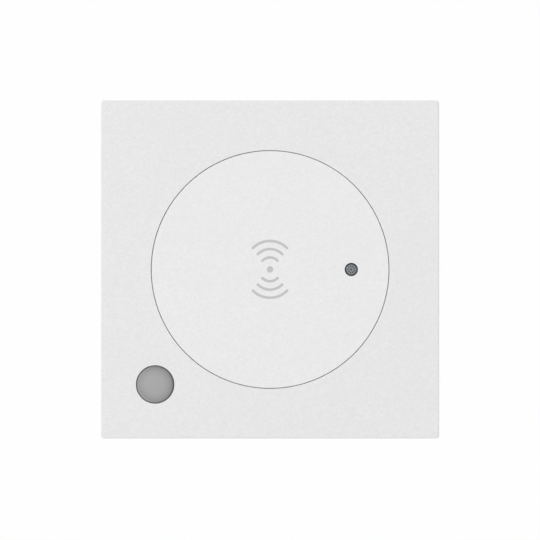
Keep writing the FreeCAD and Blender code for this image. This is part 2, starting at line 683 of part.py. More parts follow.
def sensor_carrier():
    """The inner frame: a floor with the radar window, side walls, key guide and tubes."""
    shell = slab(HALF_CARRIER, CARRIER_CORNER_RADIUS, CARRIER_Y, -FLANGE)
    shell = shell.cut(slab(INNER_CARRIER, CARRIER_CORNER_RADIUS - CARRIER_WALL, CARRIER_FLOOR_Y, CUT))
    window = 2 * HALF_RADAR_WINDOW
    shell = shell.cut(block(window, window, CARRIER_Y - CUT, CARRIER_FLOOR_Y + CUT))
    collar, key_space = key_guide()
    additions = [collar, rod(LIGHT_TUBE_RADIUS, CARRIER_Y, LIGHT_TUBE_Y, LENS_X)]
    cuts = [key_space, rod(LIGHT_HOLE_RADIUS, CARRIER_Y - CUT, LIGHT_TUBE_Y + CUT, LENS_X)]
    for x, z in corner_places(SCREWED_CORNERS):
        additions.append(rod(SCREW_TUBE_RADIUS, CARRIER_Y, FRONT_BOARD_Y, x, z))
        cuts.append(rod(SCREW_HOLE_RADIUS, CARRIER_Y - CUT, FRONT_BOARD_Y + CUT, x, z))
    for angle in SIDES.values():
        additions += [on_side(rivet(z), angle) for z in rivet_places()]
    return shell.fuse(additions).cut(cuts).removeSplitter()


def rivet_places():
    """Where a clip's two rivets stand, along the clip."""
    offset = CLIP_LENGTH / 2 - RIVET_END_DISTANCE
    return (-offset, offset)


def rivet(z):
    """A pin melted over on the carrier's wall that holds one end of a clip."""
    inside = FreeCAD.Vector(HALF_CARRIER - CARRIER_WALL / 2, CLIP_MIDDLE_Y, z)
    outside = FreeCAD.Vector(HALF_CARRIER + CLIP_THICKNESS, CLIP_MIDDLE_Y, z)
    pin = Part.makeCylinder(RIVET_RADIUS, CARRIER_WALL / 2 + CLIP_THICKNESS, inside, X_AXIS)
    head = Part.makeCylinder(RIVET_HEAD_RADIUS, RIVET_HEAD, outside, X_AXIS)
    return pin.fuse(head)


def cover_clip():
    """A flat spring strip riveted to the carrier, with a bowed tongue for the catch rib."""
    front = CLIP_MIDDLE_Y - CLIP_HEIGHT / 2
    back = CLIP_MIDDLE_Y + CLIP_HEIGHT / 2
    outer = HALF_CARRIER + CLIP_THICKNESS
    half = CLIP_LENGTH / 2
    notch = CLIP_TONGUE_WIDTH / 2 + CLIP_SLIT
    strip = box(HALF_CARRIER, outer, front, back, -half, half)
    strip = strip.cut(box(HALF_CARRIER, outer, front + CLIP_BRIDGE, back, -notch, notch))
    middle = HALF_CARRIER + CLIP_THICKNESS / 2
    rear = back + CLIP_BEND_RADIUS
    apex = INNER_PLATE - CLIP_PLATE_GAP - CLIP_THICKNESS / 2
    apex_y = CATCH_RIB_Y - CLIP_APEX_LEAD
    points = [
        (middle, front + CLIP_BRIDGE / 2),
        (middle, rear),
        (INNER_PLATE - CATCH_RIB_HEIGHT - CLIP_RIB_GAP - CLIP_THICKNESS / 2, rear),
        (apex, apex_y),
        (apex - CLIP_TIP_DROP, apex_y - CLIP_TIP_LENGTH),
    ]
    tongue = bent_strip(points, CLIP_BEND_RADIUS, CLIP_THICKNESS, CLIP_TONGUE_WIDTH)
    holes = []
    for z in rivet_places():
        start = FreeCAD.Vector(HALF_CARRIER - CUT, CLIP_MIDDLE_Y, z)
        holes.append(Part.makeCylinder(RIVET_RADIUS, 2 * CUT, start, X_AXIS))
    return strip.fuse(tongue).removeSplitter().cut(holes)


def main_housing():
    """The housing: seating flange, four walls, board ledge, corner columns, spring rails."""
    shell = slab(HALF_BODY, BODY_CORNER_RADIUS, -FLANGE, COVER_Y)
    shell = shell.makeChamfer(BODY_JOINT_CHAMFER, edges_at(shell, COVER_Y))
    shell = shell.fuse(slab(HALF_FLANGE, FLANGE_CORNER_RADIUS, -FLANGE, 0.0))
    shell = shell.cut(slab(INNER_BODY, INNER_CORNER_RADIUS, -FLANGE - CUT, FRONT_BOARD_BACK_Y))
    shell = shell.cut(slab(INNER_LEDGE, INNER_CORNER_RADIUS - BOARD_LEDGE, -FLANGE, COVER_Y))
    shell = shell.cut(slab(INNER_BODY, INNER_CORNER_RADIUS, REAR_BOARD_Y, COVER_Y + CUT))
    additions = [corner_column(sx, sz) for sx, sz in CORNERS]
    cuts = []
    for angle in SIDES.values():
        additions.append(on_side(spring_seat(), angle))
        cuts.append(on_side(spring_recess(), angle))
    for x, z in corner_places(CORNERS):
        cuts.append(rod(SCREW_RADIUS, REAR_SCREW_TIP_Y - SCREW_END_GAP, REAR_BOARD_Y, x, z))
    for x, z in corner_places(SCREWED_CORNERS):
        cuts.append(rod(SCREW_RADIUS, FRONT_BOARD_Y, FRONT_SCREW_TIP_Y + SCREW_END_GAP, x, z))
    return shell.fuse(additions).cut(cuts).removeSplitter()


def corner_column(sx, sz):
    """A column in a corner between the boards, joined to the walls, for the screws."""
    x = sx * COLUMN_OFFSET
    z = sz * COLUMN_OFFSET
    middle = HALF_BODY - BODY_WALL / 2
    web = box(x, sx * middle, FRONT_BOARD_BACK_Y, REAR_BOARD_Y, z, sz * middle)
    limit = slab(middle, BODY_CORNER_RADIUS - BODY_WALL / 2, FRONT_BOARD_BACK_Y, REAR_BOARD_Y)
    return rod(COLUMN_RADIUS, FRONT_BOARD_BACK_Y, REAR_BOARD_Y, x, z).fuse(web.common(limit))


def spring_seat():
    """Two lipped rails that a retaining spring slides under, and the peg that stops it."""
    lip = HALF_BODY + SPRING_THICKNESS + SPRING_CLEARANCE
    top = lip + RAIL_LIP_THICKNESS
    root = HALF_BODY - BODY_WALL / 2
    lip_y = SPRING_FOOT_Y + SPRING_BEND_RADIUS
    inner = SPRING_WIDTH / 2 + SPRING_CLEARANCE
    pieces = []
    for s in (-1, 1):
        pieces.append(box(root, top, SPRING_FOOT_Y, COVER_Y, s * inner, s * (inner + RAIL_WIDTH)))
        pieces.append(box(lip, top, lip_y, COVER_Y, s * (inner - RAIL_LIP), s * (inner + RAIL_WIDTH)))
    middle = (SPRING_FOOT_Y + SPRING_FOOT_BACK_Y) / 2
    half = SPRING_PEG / 2
    peg = box(root, HALF_BODY + SPRING_THICKNESS, middle - half, middle + half, -half, half)
    return pieces[0].fuse(pieces[1:] + [peg])


def spring_recess():
    """The hollow in a wall that the free end of a retaining spring bends into."""
    half = SPRING_WIDTH / 2 + SPRING_RECESS_MARGIN
    front = SPRING_TIP_SETBACK - SPRING_RECESS_MARGIN
    rear = SPRING_FOOT_Y - SPRING_RECESS_MARGIN
    return box(HALF_BODY - SPRING_RECESS, HALF_BODY + CUT, front, rear, -half, half)


def retaining_spring():
    """A bowed leaf spring whose front flank grips the rear edge of the support frame."""
    middle = HALF_BODY + SPRING_THICKNESS / 2
    apex = HALF_BODY + FRAME_GAP + SPRING_BULGE - SPRING_THICKNESS / 2
    points = [
        (middle, SPRING_FOOT_BACK_Y),
        (middle, SPRING_FOOT_Y),
        (apex, FRAME_DEPTH + SPRING_APEX_SETBACK),
        (HALF_BODY - SPRING_TIP_SINK, SPRING_TIP_SETBACK),
    ]
    spring = bent_strip(points, SPRING_BEND_RADIUS, SPRING_THICKNESS, SPRING_WIDTH)
    centre_y = (SPRING_FOOT_Y + SPRING_FOOT_BACK_Y) / 2
    half = SPRING_PEG / 2 + SPRING_CLEARANCE
    hole = box(HALF_BODY - CUT, HALF_BODY + CUT, centre_y - half, centre_y + half, -half, half)
    return spring.cut(hole)


def screw(head_y, tip_y, x, z):
    """A pan-head screw along the depth, from under its head to its tip, with a cross drive."""
    into = math.copysign(1.0, tip_y - head_y)
    top = head_y - into * SCREW_HEAD
    head = rod(SCREW_HEAD_RADIUS, head_y, top, x, z)
    head = head.makeFillet(SCREW_HEAD_EDGE, edges_at(head, top))
    point = tip_y - into * SCREW_POINT
    shaft = rod(SCREW_RADIUS, head_y, point, x, z)
    tip = cone(SCREW_RADIUS, SCREW_POINT_RADIUS, point, tip_y, x, z)
    drive_end = top + into * DRIVE_DEPTH
    across = block(DRIVE_LENGTH, DRIVE_WIDTH, top - into * CUT, drive_end, x, z)
    upright = block(DRIVE_WIDTH, DRIVE_LENGTH, top - into * CUT, drive_end, x, z)
    return head.fuse([shaft, tip]).cut([across, upright]).removeSplitter()


def rear_screws():
    """Four screws that hold the rear cover on the corner columns."""
    head_y = REAR_Y - SCREW_SINK
    return Part.makeCompound([screw(head_y, REAR_SCREW_TIP_Y, x, z) for x, z in corner_places(CORNERS)])


def carrier_screws():
    """Three screws that clamp the carrier and the front board on the columns."""
    places = corner_places(SCREWED_CORNERS)
    return Part.makeCompound([screw(CARRIER_Y, FRONT_SCREW_TIP_Y, x, z) for x, z in places])


def rear_cover():
    """The rear cover: vents, corner tubes that press on the board, the terminal pocket."""
    cover = slab(HALF_BODY, BODY_CORNER_RADIUS, COVER_Y, REAR_Y)
    cover = cover.makeFillet(COVER_EDGE_RADIUS, edges_at(cover, REAR_Y))
    cover = cover.makeChamfer(BODY_JOINT_CHAMFER, edges_at(cover, COVER_Y))
    wall_x = POCKET_HALF_X + POCKET_WALL
    wall_z = POCKET_HALF_Z + POCKET_WALL
    additions = [on_side(cover_lip(), angle) for angle in SIDES.values()]
    for x, z in corner_places(CORNERS):
        additions.append(rod(COLUMN_RADIUS, REAR_BOARD_BACK_Y, COVER_Y, x, z))
    additions.append(block(2 * wall_x, 2 * wall_z, POCKET_FRONT_Y, COVER_Y, 0.0, POCKET_Z))
    additions.append(up_arrow())
    cuts = [block(2 * POCKET_HALF_X, 2 * POCKET_HALF_Z, POCKET_Y, REAR_Y + CUT, 0.0, POCKET_Z)]
    cuts.append(pocket_mouth())
    for s in (-1, 1):
        hole = BUS_PIN_RADIUS + BUS_PIN_CLEARANCE
        cuts.append(rod(hole, POCKET_FRONT_Y - CUT, POCKET_Y + CUT, s * BUS_PIN_X, POCKET_Z))
    for x, z in corner_places(CORNERS):
        cuts.append(rod(SCREW_HOLE_RADIUS, REAR_BOARD_BACK_Y - CUT, REAR_Y + CUT, x, z))
        cuts.append(rod(SCREW_HEAD_RADIUS + SCREW_SINK_CLEARANCE, REAR_Y - SCREW_SINK, REAR_Y + CUT, x, z))
    cuts += [vent_slot((i - (VENT_COUNT - 1) / 2) * VENT_PITCH) for i in range(VENT_COUNT)]
    cuts.append(block(LABEL_WIDTH, LABEL_HEIGHT, REAR_Y - LABEL_DEPTH, REAR_Y + CUT))
    return cover.fuse(additions).cut(cuts).removeSplitter()


def pocket_mouth():
    """The chamfered mouth of the pocket, which leads the terminal in."""
    width = 2 * (POCKET_HALF_X + POCKET_CHAMFER)
    height = 2 * (POCKET_HALF_Z + POCKET_CHAMFER)
    mouth = block(width, height, REAR_Y - POCKET_CHAMFER, REAR_Y + CUT, 0.0, POCKET_Z)
    return mouth.makeChamfer(POCKET_CHAMFER, edges_at(mouth, REAR_Y - POCKET_CHAMFER))


def cover_lip():
    """A lip along one side of the rear cover that locates it inside the housing."""
    outer = INNER_BODY - COVER_LIP_CLEARANCE
    reach = COLUMN_OFFSET - COLUMN_RADIUS - COVER_LIP_CLEARANCE
    return box(outer - COVER_LIP_WALL, outer, COVER_Y - COVER_LIP_HEIGHT, COVER_Y, -reach, reach)


def up_arrow():
    """A raised arrow that shows which way up the sensor is mounted."""
    half = ARROW_WIDTH / 2
    shaft = ARROW_WIDTH / 6
    low = VENT_CENTRE_Z - ARROW_HEIGHT / 2
    right = [(shaft, low), (shaft, VENT_CENTRE_Z), (half, VENT_CENTRE_Z)]
    left = [(-x, z) for x, z in reversed(right)]
    outline = right + [(0.0, low + ARROW_HEIGHT)] + left + right[:1]
    base_y = REAR_Y - LABEL_DEPTH
    wire = Part.makePolygon([FreeCAD.Vector(ARROW_X + x, base_y, z) for x, z in outline])
    return Part.Face(wire).extrude(FreeCAD.Vector(0, ARROW_RELIEF + LABEL_DEPTH, 0))


def front_board():
    """The front board, clamped between the corner columns and the carrier's screw tubes."""
    board = slab(HALF_FRONT_BOARD, INNER_CORNER_RADIUS - BOARD_SIDE_GAP, FRONT_BOARD_Y, FRONT_BOARD_BACK_Y)
    y0 = FRONT_BOARD_Y - CUT
    y1 = FRONT_BOARD_BACK_Y + CUT
    cuts = header_holes(FRONT_BOARD_Y, FRONT_BOARD_BACK_Y)
    cuts += [rod(SCREW_HOLE_RADIUS, y0, y1, x, z) for x, z in corner_places(SCREWED_CORNERS)]
    cuts += [rod(LINK_PIN_RADIUS, y0, y1, x, z) for x, z in link_places()]
    return board.cut(cuts)


def chip(size_x, size_z, height, y, x, z, way=-1):
    """A chip package on a board's face, with its top edges chamfered; way -1 is forwards."""
    top = y + way * height
    body = block(size_x, size_z, y, top, x, z)
    return body.makeChamfer(CHIP_EDGE, edges_at(body, top))


def microcontroller():
    size = CONTROLLER_SIZE
    return chip(size, size, CONTROLLER_HEIGHT, FRONT_BOARD_Y, CONTROLLER_X, CONTROLLER_Z)


def clock_crystal():
    return chip(CRYSTAL_LENGTH, CRYSTAL_WIDTH, CRYSTAL_HEIGHT, FRONT_BOARD_Y, CRYSTAL_X, CONTROLLER_Z)


def status_led():
    z = (LIGHT_CHIP_GAP + LED_LENGTH) / 2
    return chip(LED_WIDTH, LED_LENGTH, LED_HEIGHT, FRONT_BOARD_Y, LENS_X, z)


def light_sensor():
    z = -(LIGHT_CHIP_GAP + LIGHT_SENSOR_SIZE) / 2
    return chip(LIGHT_SENSOR_SIZE, LIGHT_SENSOR_SIZE, LIGHT_SENSOR_HEIGHT, FRONT_BOARD_Y, LENS_X, z)


def light_guide():
    """The clear rod between the lens and the two chips, with a cone that seats on its tube."""
    stem = rod(LIGHT_GUIDE_RADIUS, LENS_BACK_Y + LIGHT_GUIDE_GAP, LIGHT_TUBE_Y, LENS_X)
    step = LIGHT_GUIDE_RADIUS + LIGHT_CONE_STEP
    return stem.fuse(cone(step, LIGHT_CONE_FOOT_RADIUS, LIGHT_TUBE_Y, LIGHT_BACK_Y, LENS_X))


def passive_row(count, x, z, y, way=-1):
    """A row of small two-ended parts on a board's face, centred on (x, z)."""
    pitch = PASSIVE_WIDTH + PASSIVE_GAP
    starts = [x + (i - (count - 1) / 2) * pitch for i in range(count)]
    return [chip(PASSIVE_WIDTH, PASSIVE_LENGTH, PASSIVE_HEIGHT, y, start, z, way) for start in starts]


def front_board_parts():
    """Small resistors and capacitors round the controller, the crystal and the light chips."""
    y = FRONT_BOARD_Y
    beside = PASSIVE_LENGTH / 2 + PASSIVE_GAP
    rows = passive_row(4, CONTROLLER_X, CONTROLLER_Z + CONTROLLER_SIZE / 2 + beside, y)
    rows += passive_row(2, CRYSTAL_X, CONTROLLER_Z + CRYSTAL_WIDTH / 2 + beside, y)
    light_x = LENS_X + LIGHT_CONE_FOOT_RADIUS + PASSIVE_LENGTH + 2 * PASSIVE_WIDTH
    rows += passive_row(3, light_x, beside, y)
    rows += passive_row(3, light_x, -beside, y)
    rows += passive_row(4, -HALF_RADAR - 2 * PASSIVE_LENGTH - 2 * PASSIVE_WIDTH, -beside, y)
    return Part.makeCompound(rows)


def header_places():
    """Pin positions of the two headers under the radar board."""
    rows = [(i - (HEADER_PIN_COUNT - 1) / 2) * HEADER_PITCH for i in range(HEADER_PIN_COUNT)]
    return [(s * HEADER_X, z) for s in (-1, 1) for z in rows]


def header_holes(y0, y1):
    """Holes for the header pins through a piece between two depths."""
    return [rod(HEADER_PIN_RADIUS, y0 - CUT, y1 + CUT, x, z) for x, z in header_places()]


def radar_headers():
    """The two plastic strips that stand the radar board off the front board."""
    length = HEADER_PIN_COUNT * HEADER_PITCH
    holes = header_holes(RADAR_BACK_Y, FRONT_BOARD_Y)
    strips = [block(HEADER_WIDTH, length, RADAR_BACK_Y, FRONT_BOARD_Y, s * HEADER_X) for s in (-1, 1)]
    return Part.makeCompound([strip.cut(holes) for strip in strips])


def radar_pins():
    """The header pins, soldered in both boards."""
    front = RADAR_Y - HEADER_PIN_TAIL
    back = FRONT_BOARD_BACK_Y + HEADER_PIN_TAIL
    return Part.makeCompound([rod(HEADER_PIN_RADIUS, front, back, x, z) for x, z in header_places()])


def radar_board():
    board = slab(HALF_RADAR, RADAR_CORNER_RADIUS, RADAR_Y, RADAR_BACK_Y)
    return board.cut(header_holes(RADAR_Y, RADAR_BACK_Y))


def antenna_patches():
    """Two columns of copper patches, one that sends and one that listens, with their feeds."""
    front = RADAR_Y - PATCH_THICKNESS
    columns = []
    for s in (-1, 1):
        patches = [block(PATCH_SIZE, PATCH_SIZE, front, RADAR_Y, s * PATCH_X, sz * PATCH_Z) for sz in (-1, 1)]
        feed = block(FEED_WIDTH, 2 * PATCH_Z, front, RADAR_Y, s * PATCH_X)
        tail = box(s * FEED_SPLIT, s * PATCH_X, front, RADAR_Y, -FEED_WIDTH / 2, FEED_WIDTH / 2)
        columns.append(feed.fuse(patches + [tail]).removeSplitter())
    return Part.makeCompound(columns)


def radar_chip():
    return chip(RADAR_CHIP_SIZE, RADAR_CHIP_SIZE, RADAR_CHIP_HEIGHT, RADAR_BACK_Y, 0.0, 0.0, way=1)


def link_places():
    """Pin positions of the plug that joins the two boards."""
    columns = [(i - (LINK_COLUMNS - 1) / 2) * LINK_PITCH for i in range(LINK_COLUMNS)]
    rows = [LINK_Z + (i - (LINK_ROWS - 1) / 2) * LINK_PITCH for i in range(LINK_ROWS)]
    return [(x, z) for z in rows for x in columns]


def link_block(y0, y1):
    """One half of the plug between the boards, bored for its pins."""
    body = block(LINK_WIDTH, LINK_HEIGHT, y0, y1, 0.0, LINK_Z)
    return body.cut([rod(LINK_PIN_RADIUS, y0 - CUT, y1 + CUT, x, z) for x, z in link_places()])


def link_header():
    return link_block(FRONT_BOARD_BACK_Y, FRONT_BOARD_BACK_Y + LINK_HEADER_HEIGHT)


def link_socket():
    return link_block(FRONT_BOARD_BACK_Y + LINK_HEADER_HEIGHT, REAR_BOARD_Y)


def link_pins():
    """The plug's pins, soldered in the front board."""
    front = FRONT_BOARD_Y - LINK_PIN_TAIL
    back = REAR_BOARD_Y - LINK_PIN_TAIL
    return Part.makeCompound([rod(LINK_PIN_RADIUS, front, back, x, z) for x, z in link_places()])


def rear_board():
    """The rear board, clamped between the corner columns and the rear cover's tubes."""
    board = slab(HALF_REAR_BOARD, INNER_CORNER_RADIUS - REAR_BOARD_GAP, REAR_BOARD_Y, REAR_BOARD_BACK_Y)
    y0 = REAR_BOARD_Y - CUT
    y1 = REAR_BOARD_BACK_Y + CUT
    cuts = [rod(SCREW_HOLE_RADIUS, y0, y1, x, z) for x, z in corner_places(CORNERS)]
    cuts += [rod(BUS_PIN_RADIUS, y0, y1, s * BUS_PIN_X, POCKET_Z) for s in (-1, 1)]
    return board.cut(cuts)


def buffer_capacitors():
    """Two round capacitors with square feet, each with a rolled seam round its can."""
    top = REAR_BOARD_Y - CAPACITOR_HEIGHT
    foot_y = REAR_BOARD_Y - CAPACITOR_FOOT_HEIGHT
    seam_y = foot_y - CAPACITOR_SEAM_LIFT
    cans = []
    for s in (-1, 1):
        z = CAPACITOR_CENTRE_Z + s * CAPACITOR_STEP
        foot = block(CAPACITOR_FOOT, CAPACITOR_FOOT, foot_y, REAR_BOARD_Y, CAPACITOR_X, z)
        can = rod(CAPACITOR_RADIUS, top, foot_y, CAPACITOR_X, z)
        can = can.makeFillet(CAPACITOR_EDGE, edges_at(can, top))
        seam_centre = FreeCAD.Vector(CAPACITOR_X, seam_y, z)
        seam = Part.makeTorus(CAPACITOR_RADIUS + CAPACITOR_SEAM / 2, CAPACITOR_SEAM, seam_centre, Y_AXIS)
        cans.append(foot.fuse(can.cut(seam)))
    return Part.makeCompound(cans)


def choke_core():
    """The ferrite bobbin of the bus choke: a square foot, a round core and a round top."""
    top = REAR_BOARD_Y - CHOKE_HEIGHT
    foot = block(CHOKE_SIZE, CHOKE_SIZE, REAR_BOARD_Y - CHOKE_FLANGE, REAR_BOARD_Y, CHOKE_X, CHOKE_Z)
    cap = rod(CHOKE_SIZE / 2, top, top + CHOKE_FLANGE, CHOKE_X, CHOKE_Z)
    core = rod(CHOKE_CORE_RADIUS, top, REAR_BOARD_Y, CHOKE_X, CHOKE_Z)
    return core.fuse([foot, cap]).removeSplitter()


def choke_coil():
    """The choke's copper winding, sealed in the housing and kept as a plain ring."""
    y0 = REAR_BOARD_Y - CHOKE_HEIGHT + CHOKE_FLANGE
    y1 = REAR_BOARD_Y - CHOKE_FLANGE
    coil = rod(CHOKE_COIL_RADIUS, y0, y1, CHOKE_X, CHOKE_Z)
    return coil.cut(rod(CHOKE_CORE_RADIUS, y0 - CUT, y1 + CUT, CHOKE_X, CHOKE_Z))


def bus_chip():
    size = BUS_CHIP_SIZE
    return chip(size, size, BUS_CHIP_HEIGHT, REAR_BOARD_BACK_Y, BUS_CHIP_X, BUS_CHIP_Z, way=1)


def rear_board_parts():
    """Small resistors and capacitors on the rear board's back."""
    y = REAR_BOARD_BACK_Y
    beside = BUS_CHIP_SIZE / 2 + PASSIVE_LENGTH / 2 + PASSIVE_GAP
    rows = passive_row(5, BUS_CHIP_X, BUS_CHIP_Z - beside, y, way=1)
    rows += passive_row(4, BUS_CHIP_X, BUS_CHIP_Z + beside, y, way=1)
    rows += passive_row(6, -BUS_CHIP_X, BUS_CHIP_Z, y, way=1)
    return Part.makeCompound(rows)


def bus_pins():
    """Two round pins that stand out of the rear board into the terminal pocket."""
    collar_end = REAR_BOARD_BACK_Y + BUS_PIN_COLLAR
    pins = []
    for s in (-1, 1):
        x = s * BUS_PIN_X
        pin = rod(BUS_PIN_RADIUS, REAR_BOARD_Y - BUS_PIN_TAIL, BUS_PIN_END_Y, x, POCKET_Z)
        pin = pin.makeFillet(BUS_PIN_TAPER, edges_at(pin, BUS_PIN_END_Y))
        collar = rod(BUS_PIN_COLLAR_RADIUS, REAR_BOARD_BACK_Y, collar_end, x, POCKET_Z)
        pins.append(pin.fuse(collar).removeSplitter())
    return Part.makeCompound(pins)


def funnel(x, z):
    """A square funnel that leads a wire into its hole in the back of the terminal."""
    wires = []
    for half, y in ((WIRE_FUNNEL / 2, TERMINAL_BACK_Y), (WIRE_HOLE / 2, TERMINAL_BACK_Y - WIRE_FUNNEL_DEPTH)):
        corners = ((-half, -half), (half, -half), (half, half), (-half, half), (-half, -half))
        wires.append(Part.makePolygon([FreeCAD.Vector(x + dx, y, z + dz) for dx, dz in corners]))
    return Part.makeLoft(wires, True, True)


def terminal_pole(s):
    """One pole of the bus terminal: four wire funnels, test slots and its contact's space."""
    outer = s * TERMINAL_WIDTH
    half = TERMINAL_HEIGHT / 2
    pole = box(0.0, outer, TERMINAL_Y, TERMINAL_BACK_Y, POCKET_Z - half, POCKET_Z + half)
    corners = [e for e in pole.Edges if abs(e.BoundBox.XMin - outer) < NEAR and e.BoundBox.XLength < NEAR]
    pole = pole.makeChamfer(TERMINAL_EDGE, corners)
    entry_x = s * (BUS_PIN_X + WIRE_ENTRY_OFFSET)
    test_x = s * (BUS_PIN_X - TEST_SLOT_OFFSET)
    hole_y = TERMINAL_BACK_Y - WIRE_HOLE_DEPTH
    cuts = [contact_block(s), pin_bore(s)]
    for i in range(WIRE_ENTRIES):
        z = POCKET_Z + (i - (WIRE_ENTRIES - 1) / 2) * WIRE_ENTRY_PITCH
        cuts.append(funnel(entry_x, z))
        cuts.append(block(WIRE_HOLE, WIRE_HOLE, hole_y, TERMINAL_BACK_Y, entry_x, z))
        slot_y = TERMINAL_BACK_Y - TEST_SLOT_DEPTH
        cuts.append(block(TEST_SLOT_WIDTH, TEST_SLOT_LENGTH, slot_y, TERMINAL_BACK_Y + CUT, test_x, z))
    return pole.cut(cuts)


def pin_bore(s):
    """The hole in one pole that its bus pin runs in."""
    end = BUS_PIN_END_Y + BUS_PIN_CLEARANCE
    return rod(BUS_PIN_RADIUS + BUS_PIN_CLEARANCE, TERMINAL_Y - CUT, end, s * BUS_PIN_X, POCKET_Z)


def contact_block(s):
    """The space that one pole's contact fills."""
    y0 = TERMINAL_Y + CONTACT_FLOOR
    height = TERMINAL_HEIGHT - 2 * CONTACT_END_WALL
    return block(CONTACT_WIDTH, height, y0, y0 + CONTACT_LENGTH, s * BUS_PIN_X, POCKET_Z)


def terminal_contacts():
    """The metal contact inside each pole, which its bus pin slides through."""
    return Part.makeCompound([contact_block(s).cut(pin_bore(s)) for s in (-1, 1)])


def export(name, shape):
    """Writes one node and prints what it holds."""
    fault = "" if shape.isValid() else ", not valid"
    print(f"{name}: {len(shape.Solids)} solids, {shape.Volume:.2f} mm3{fault}")
    shape.exportStep(os.path.join("parts", name + ".step"))


def main():
    os.makedirs("parts", exist_ok=True)
    pieces = {
        "front_plate": front_plate(),
        "sensor_disc": sensor_disc(),
        "lens_sleeve": lens_sleeve(),
        "status_lens": status_lens(),
        "function_key": function_key(),
        "switch_plunger": switch_plunger(),
        "switch_body": switch_body(),
        "switch_legs": switch_legs(),
        "sensor_carrier": sensor_carrier(),
        "carrier_screws": carrier_screws(),
        "light_guide": light_guide(),
        "radar_board": radar_board(),
        "antenna_patches": antenna_patches(),
        "radar_chip": radar_chip(),
        "radar_headers": radar_headers(),
        "radar_pins": radar_pins(),
        "front_board": front_board(),
        "microcontroller": microcontroller(),
        "clock_crystal": clock_crystal(),
        "status_led": status_led(),
        "light_sensor": light_sensor(),
        "front_board_parts": front_board_parts(),
        "link_header": link_header(),
        "link_socket": link_socket(),
        "link_pins": link_pins(),
        "rear_board": rear_board(),
        "buffer_capacitors": buffer_capacitors(),
        "choke_core": choke_core(),
        "choke_coil": choke_coil(),
        "bus_chip": bus_chip(),
        "rear_board_parts": rear_board_parts(),
        "bus_pins": bus_pins(),
        "main_housing": main_housing(),
        "rear_cover": rear_cover(),
        "rear_screws": rear_screws(),
        "terminal_positive": terminal_pole(-1),
        "terminal_negative": terminal_pole(1),
        "terminal_contacts": terminal_contacts(),
    }
    clip = cover_clip()
    spring = retaining_spring()
    for side, angle in SIDES.items():
        pieces["cover_clip_" + side] = on_side(clip, angle)
        pieces["retaining_spring_" + side] = on_side(spring, angle)
    for name, shape in pieces.items():
        export(name, shape)


main()
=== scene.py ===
import json
import math

import bmesh
import bpy
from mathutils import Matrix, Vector


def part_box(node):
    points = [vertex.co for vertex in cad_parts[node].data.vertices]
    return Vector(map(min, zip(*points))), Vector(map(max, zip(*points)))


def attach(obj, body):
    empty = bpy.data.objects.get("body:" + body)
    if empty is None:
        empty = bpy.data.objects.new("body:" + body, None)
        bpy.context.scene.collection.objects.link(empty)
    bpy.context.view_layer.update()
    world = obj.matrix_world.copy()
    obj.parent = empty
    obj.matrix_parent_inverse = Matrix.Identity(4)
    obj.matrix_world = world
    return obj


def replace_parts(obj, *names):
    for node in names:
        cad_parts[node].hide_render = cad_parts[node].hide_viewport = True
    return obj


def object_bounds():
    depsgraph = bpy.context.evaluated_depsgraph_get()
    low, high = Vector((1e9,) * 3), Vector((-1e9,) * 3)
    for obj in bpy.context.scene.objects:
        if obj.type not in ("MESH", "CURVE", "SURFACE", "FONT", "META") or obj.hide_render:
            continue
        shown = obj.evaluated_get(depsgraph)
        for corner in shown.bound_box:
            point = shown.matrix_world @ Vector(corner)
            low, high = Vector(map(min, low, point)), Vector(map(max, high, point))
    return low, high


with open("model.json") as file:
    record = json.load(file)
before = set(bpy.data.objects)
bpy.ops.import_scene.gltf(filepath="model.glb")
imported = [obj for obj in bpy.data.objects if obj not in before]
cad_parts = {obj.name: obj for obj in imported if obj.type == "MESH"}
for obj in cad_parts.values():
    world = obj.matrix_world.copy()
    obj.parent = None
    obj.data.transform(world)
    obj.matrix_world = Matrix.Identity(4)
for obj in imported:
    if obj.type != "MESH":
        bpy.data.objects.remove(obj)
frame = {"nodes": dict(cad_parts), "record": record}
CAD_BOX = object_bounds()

# A flush presence sensor seen straight on: a square white front, a round cover let into it
# flush, a status light, a grey key and a printed wave sign. Metres, in the frame's own axes:
# X to the right, Z up, Y into the wall.

NODES = frame["nodes"]
MM = 0.001

# Camera, and the plane of the face that it looks at
FACE_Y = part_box("front_plate")[0].y
VIEW_WIDTH = 87.82 * MM
VIEW_DISTANCE = 0.9
VIEW_X = -0.021 * MM
VIEW_Z = -0.082 * MM
SENSOR_WIDTH = 36.0

# Studio: each lamp's place, diameter and power, and the floor's white share by distance
WORLD_LEVEL = 0.70
LAMPS = {
    "left_lamp": ((-1.2, -1.9, 0.25), 1.0, 11.6),
    "top_lamp": ((0.08, -0.75, 2.67), 1.67, 10.8),
    "rear_lamp": ((-1.6, 3.0, 2.4), 2.0, 26.0),
}
FLOOR_Z = 2 * CAD_BOX[0].z
FLOOR_SIZE = 200.0
FLOOR_WHITE = 0.45
FLOOR_NEAR = 0.10
FLOOR_FAR = 0.23
FLOOR_COLOUR = (0.97, 0.97, 0.97, 1.0)
STUDIO_WHITE = (0.991, 0.991, 0.991, 1.0)

# Printed sign: each wave's radius, the place of its centre and the angle of its half
PRINT_THICKNESS = 0.01 * MM
PRINT_LINE = 0.42 * MM
DOT_RADIUS = 0.53 * MM
SIGN_X = -0.021 * MM
SIGN_Z = 0.024 * MM
WAVE_STEPS = 28
WAVE_END_STEPS = 6
WAVE_TIP = 0.15
DOT_STEPS = 24
DOT_TIP = 0.25
WAVES = (
    (1.689 * MM, 0.248 * MM, 46.5),
    (2.787 * MM, 0.514 * MM, 45.3),
    (3.902 * MM, 0.719 * MM, 45.4),
)

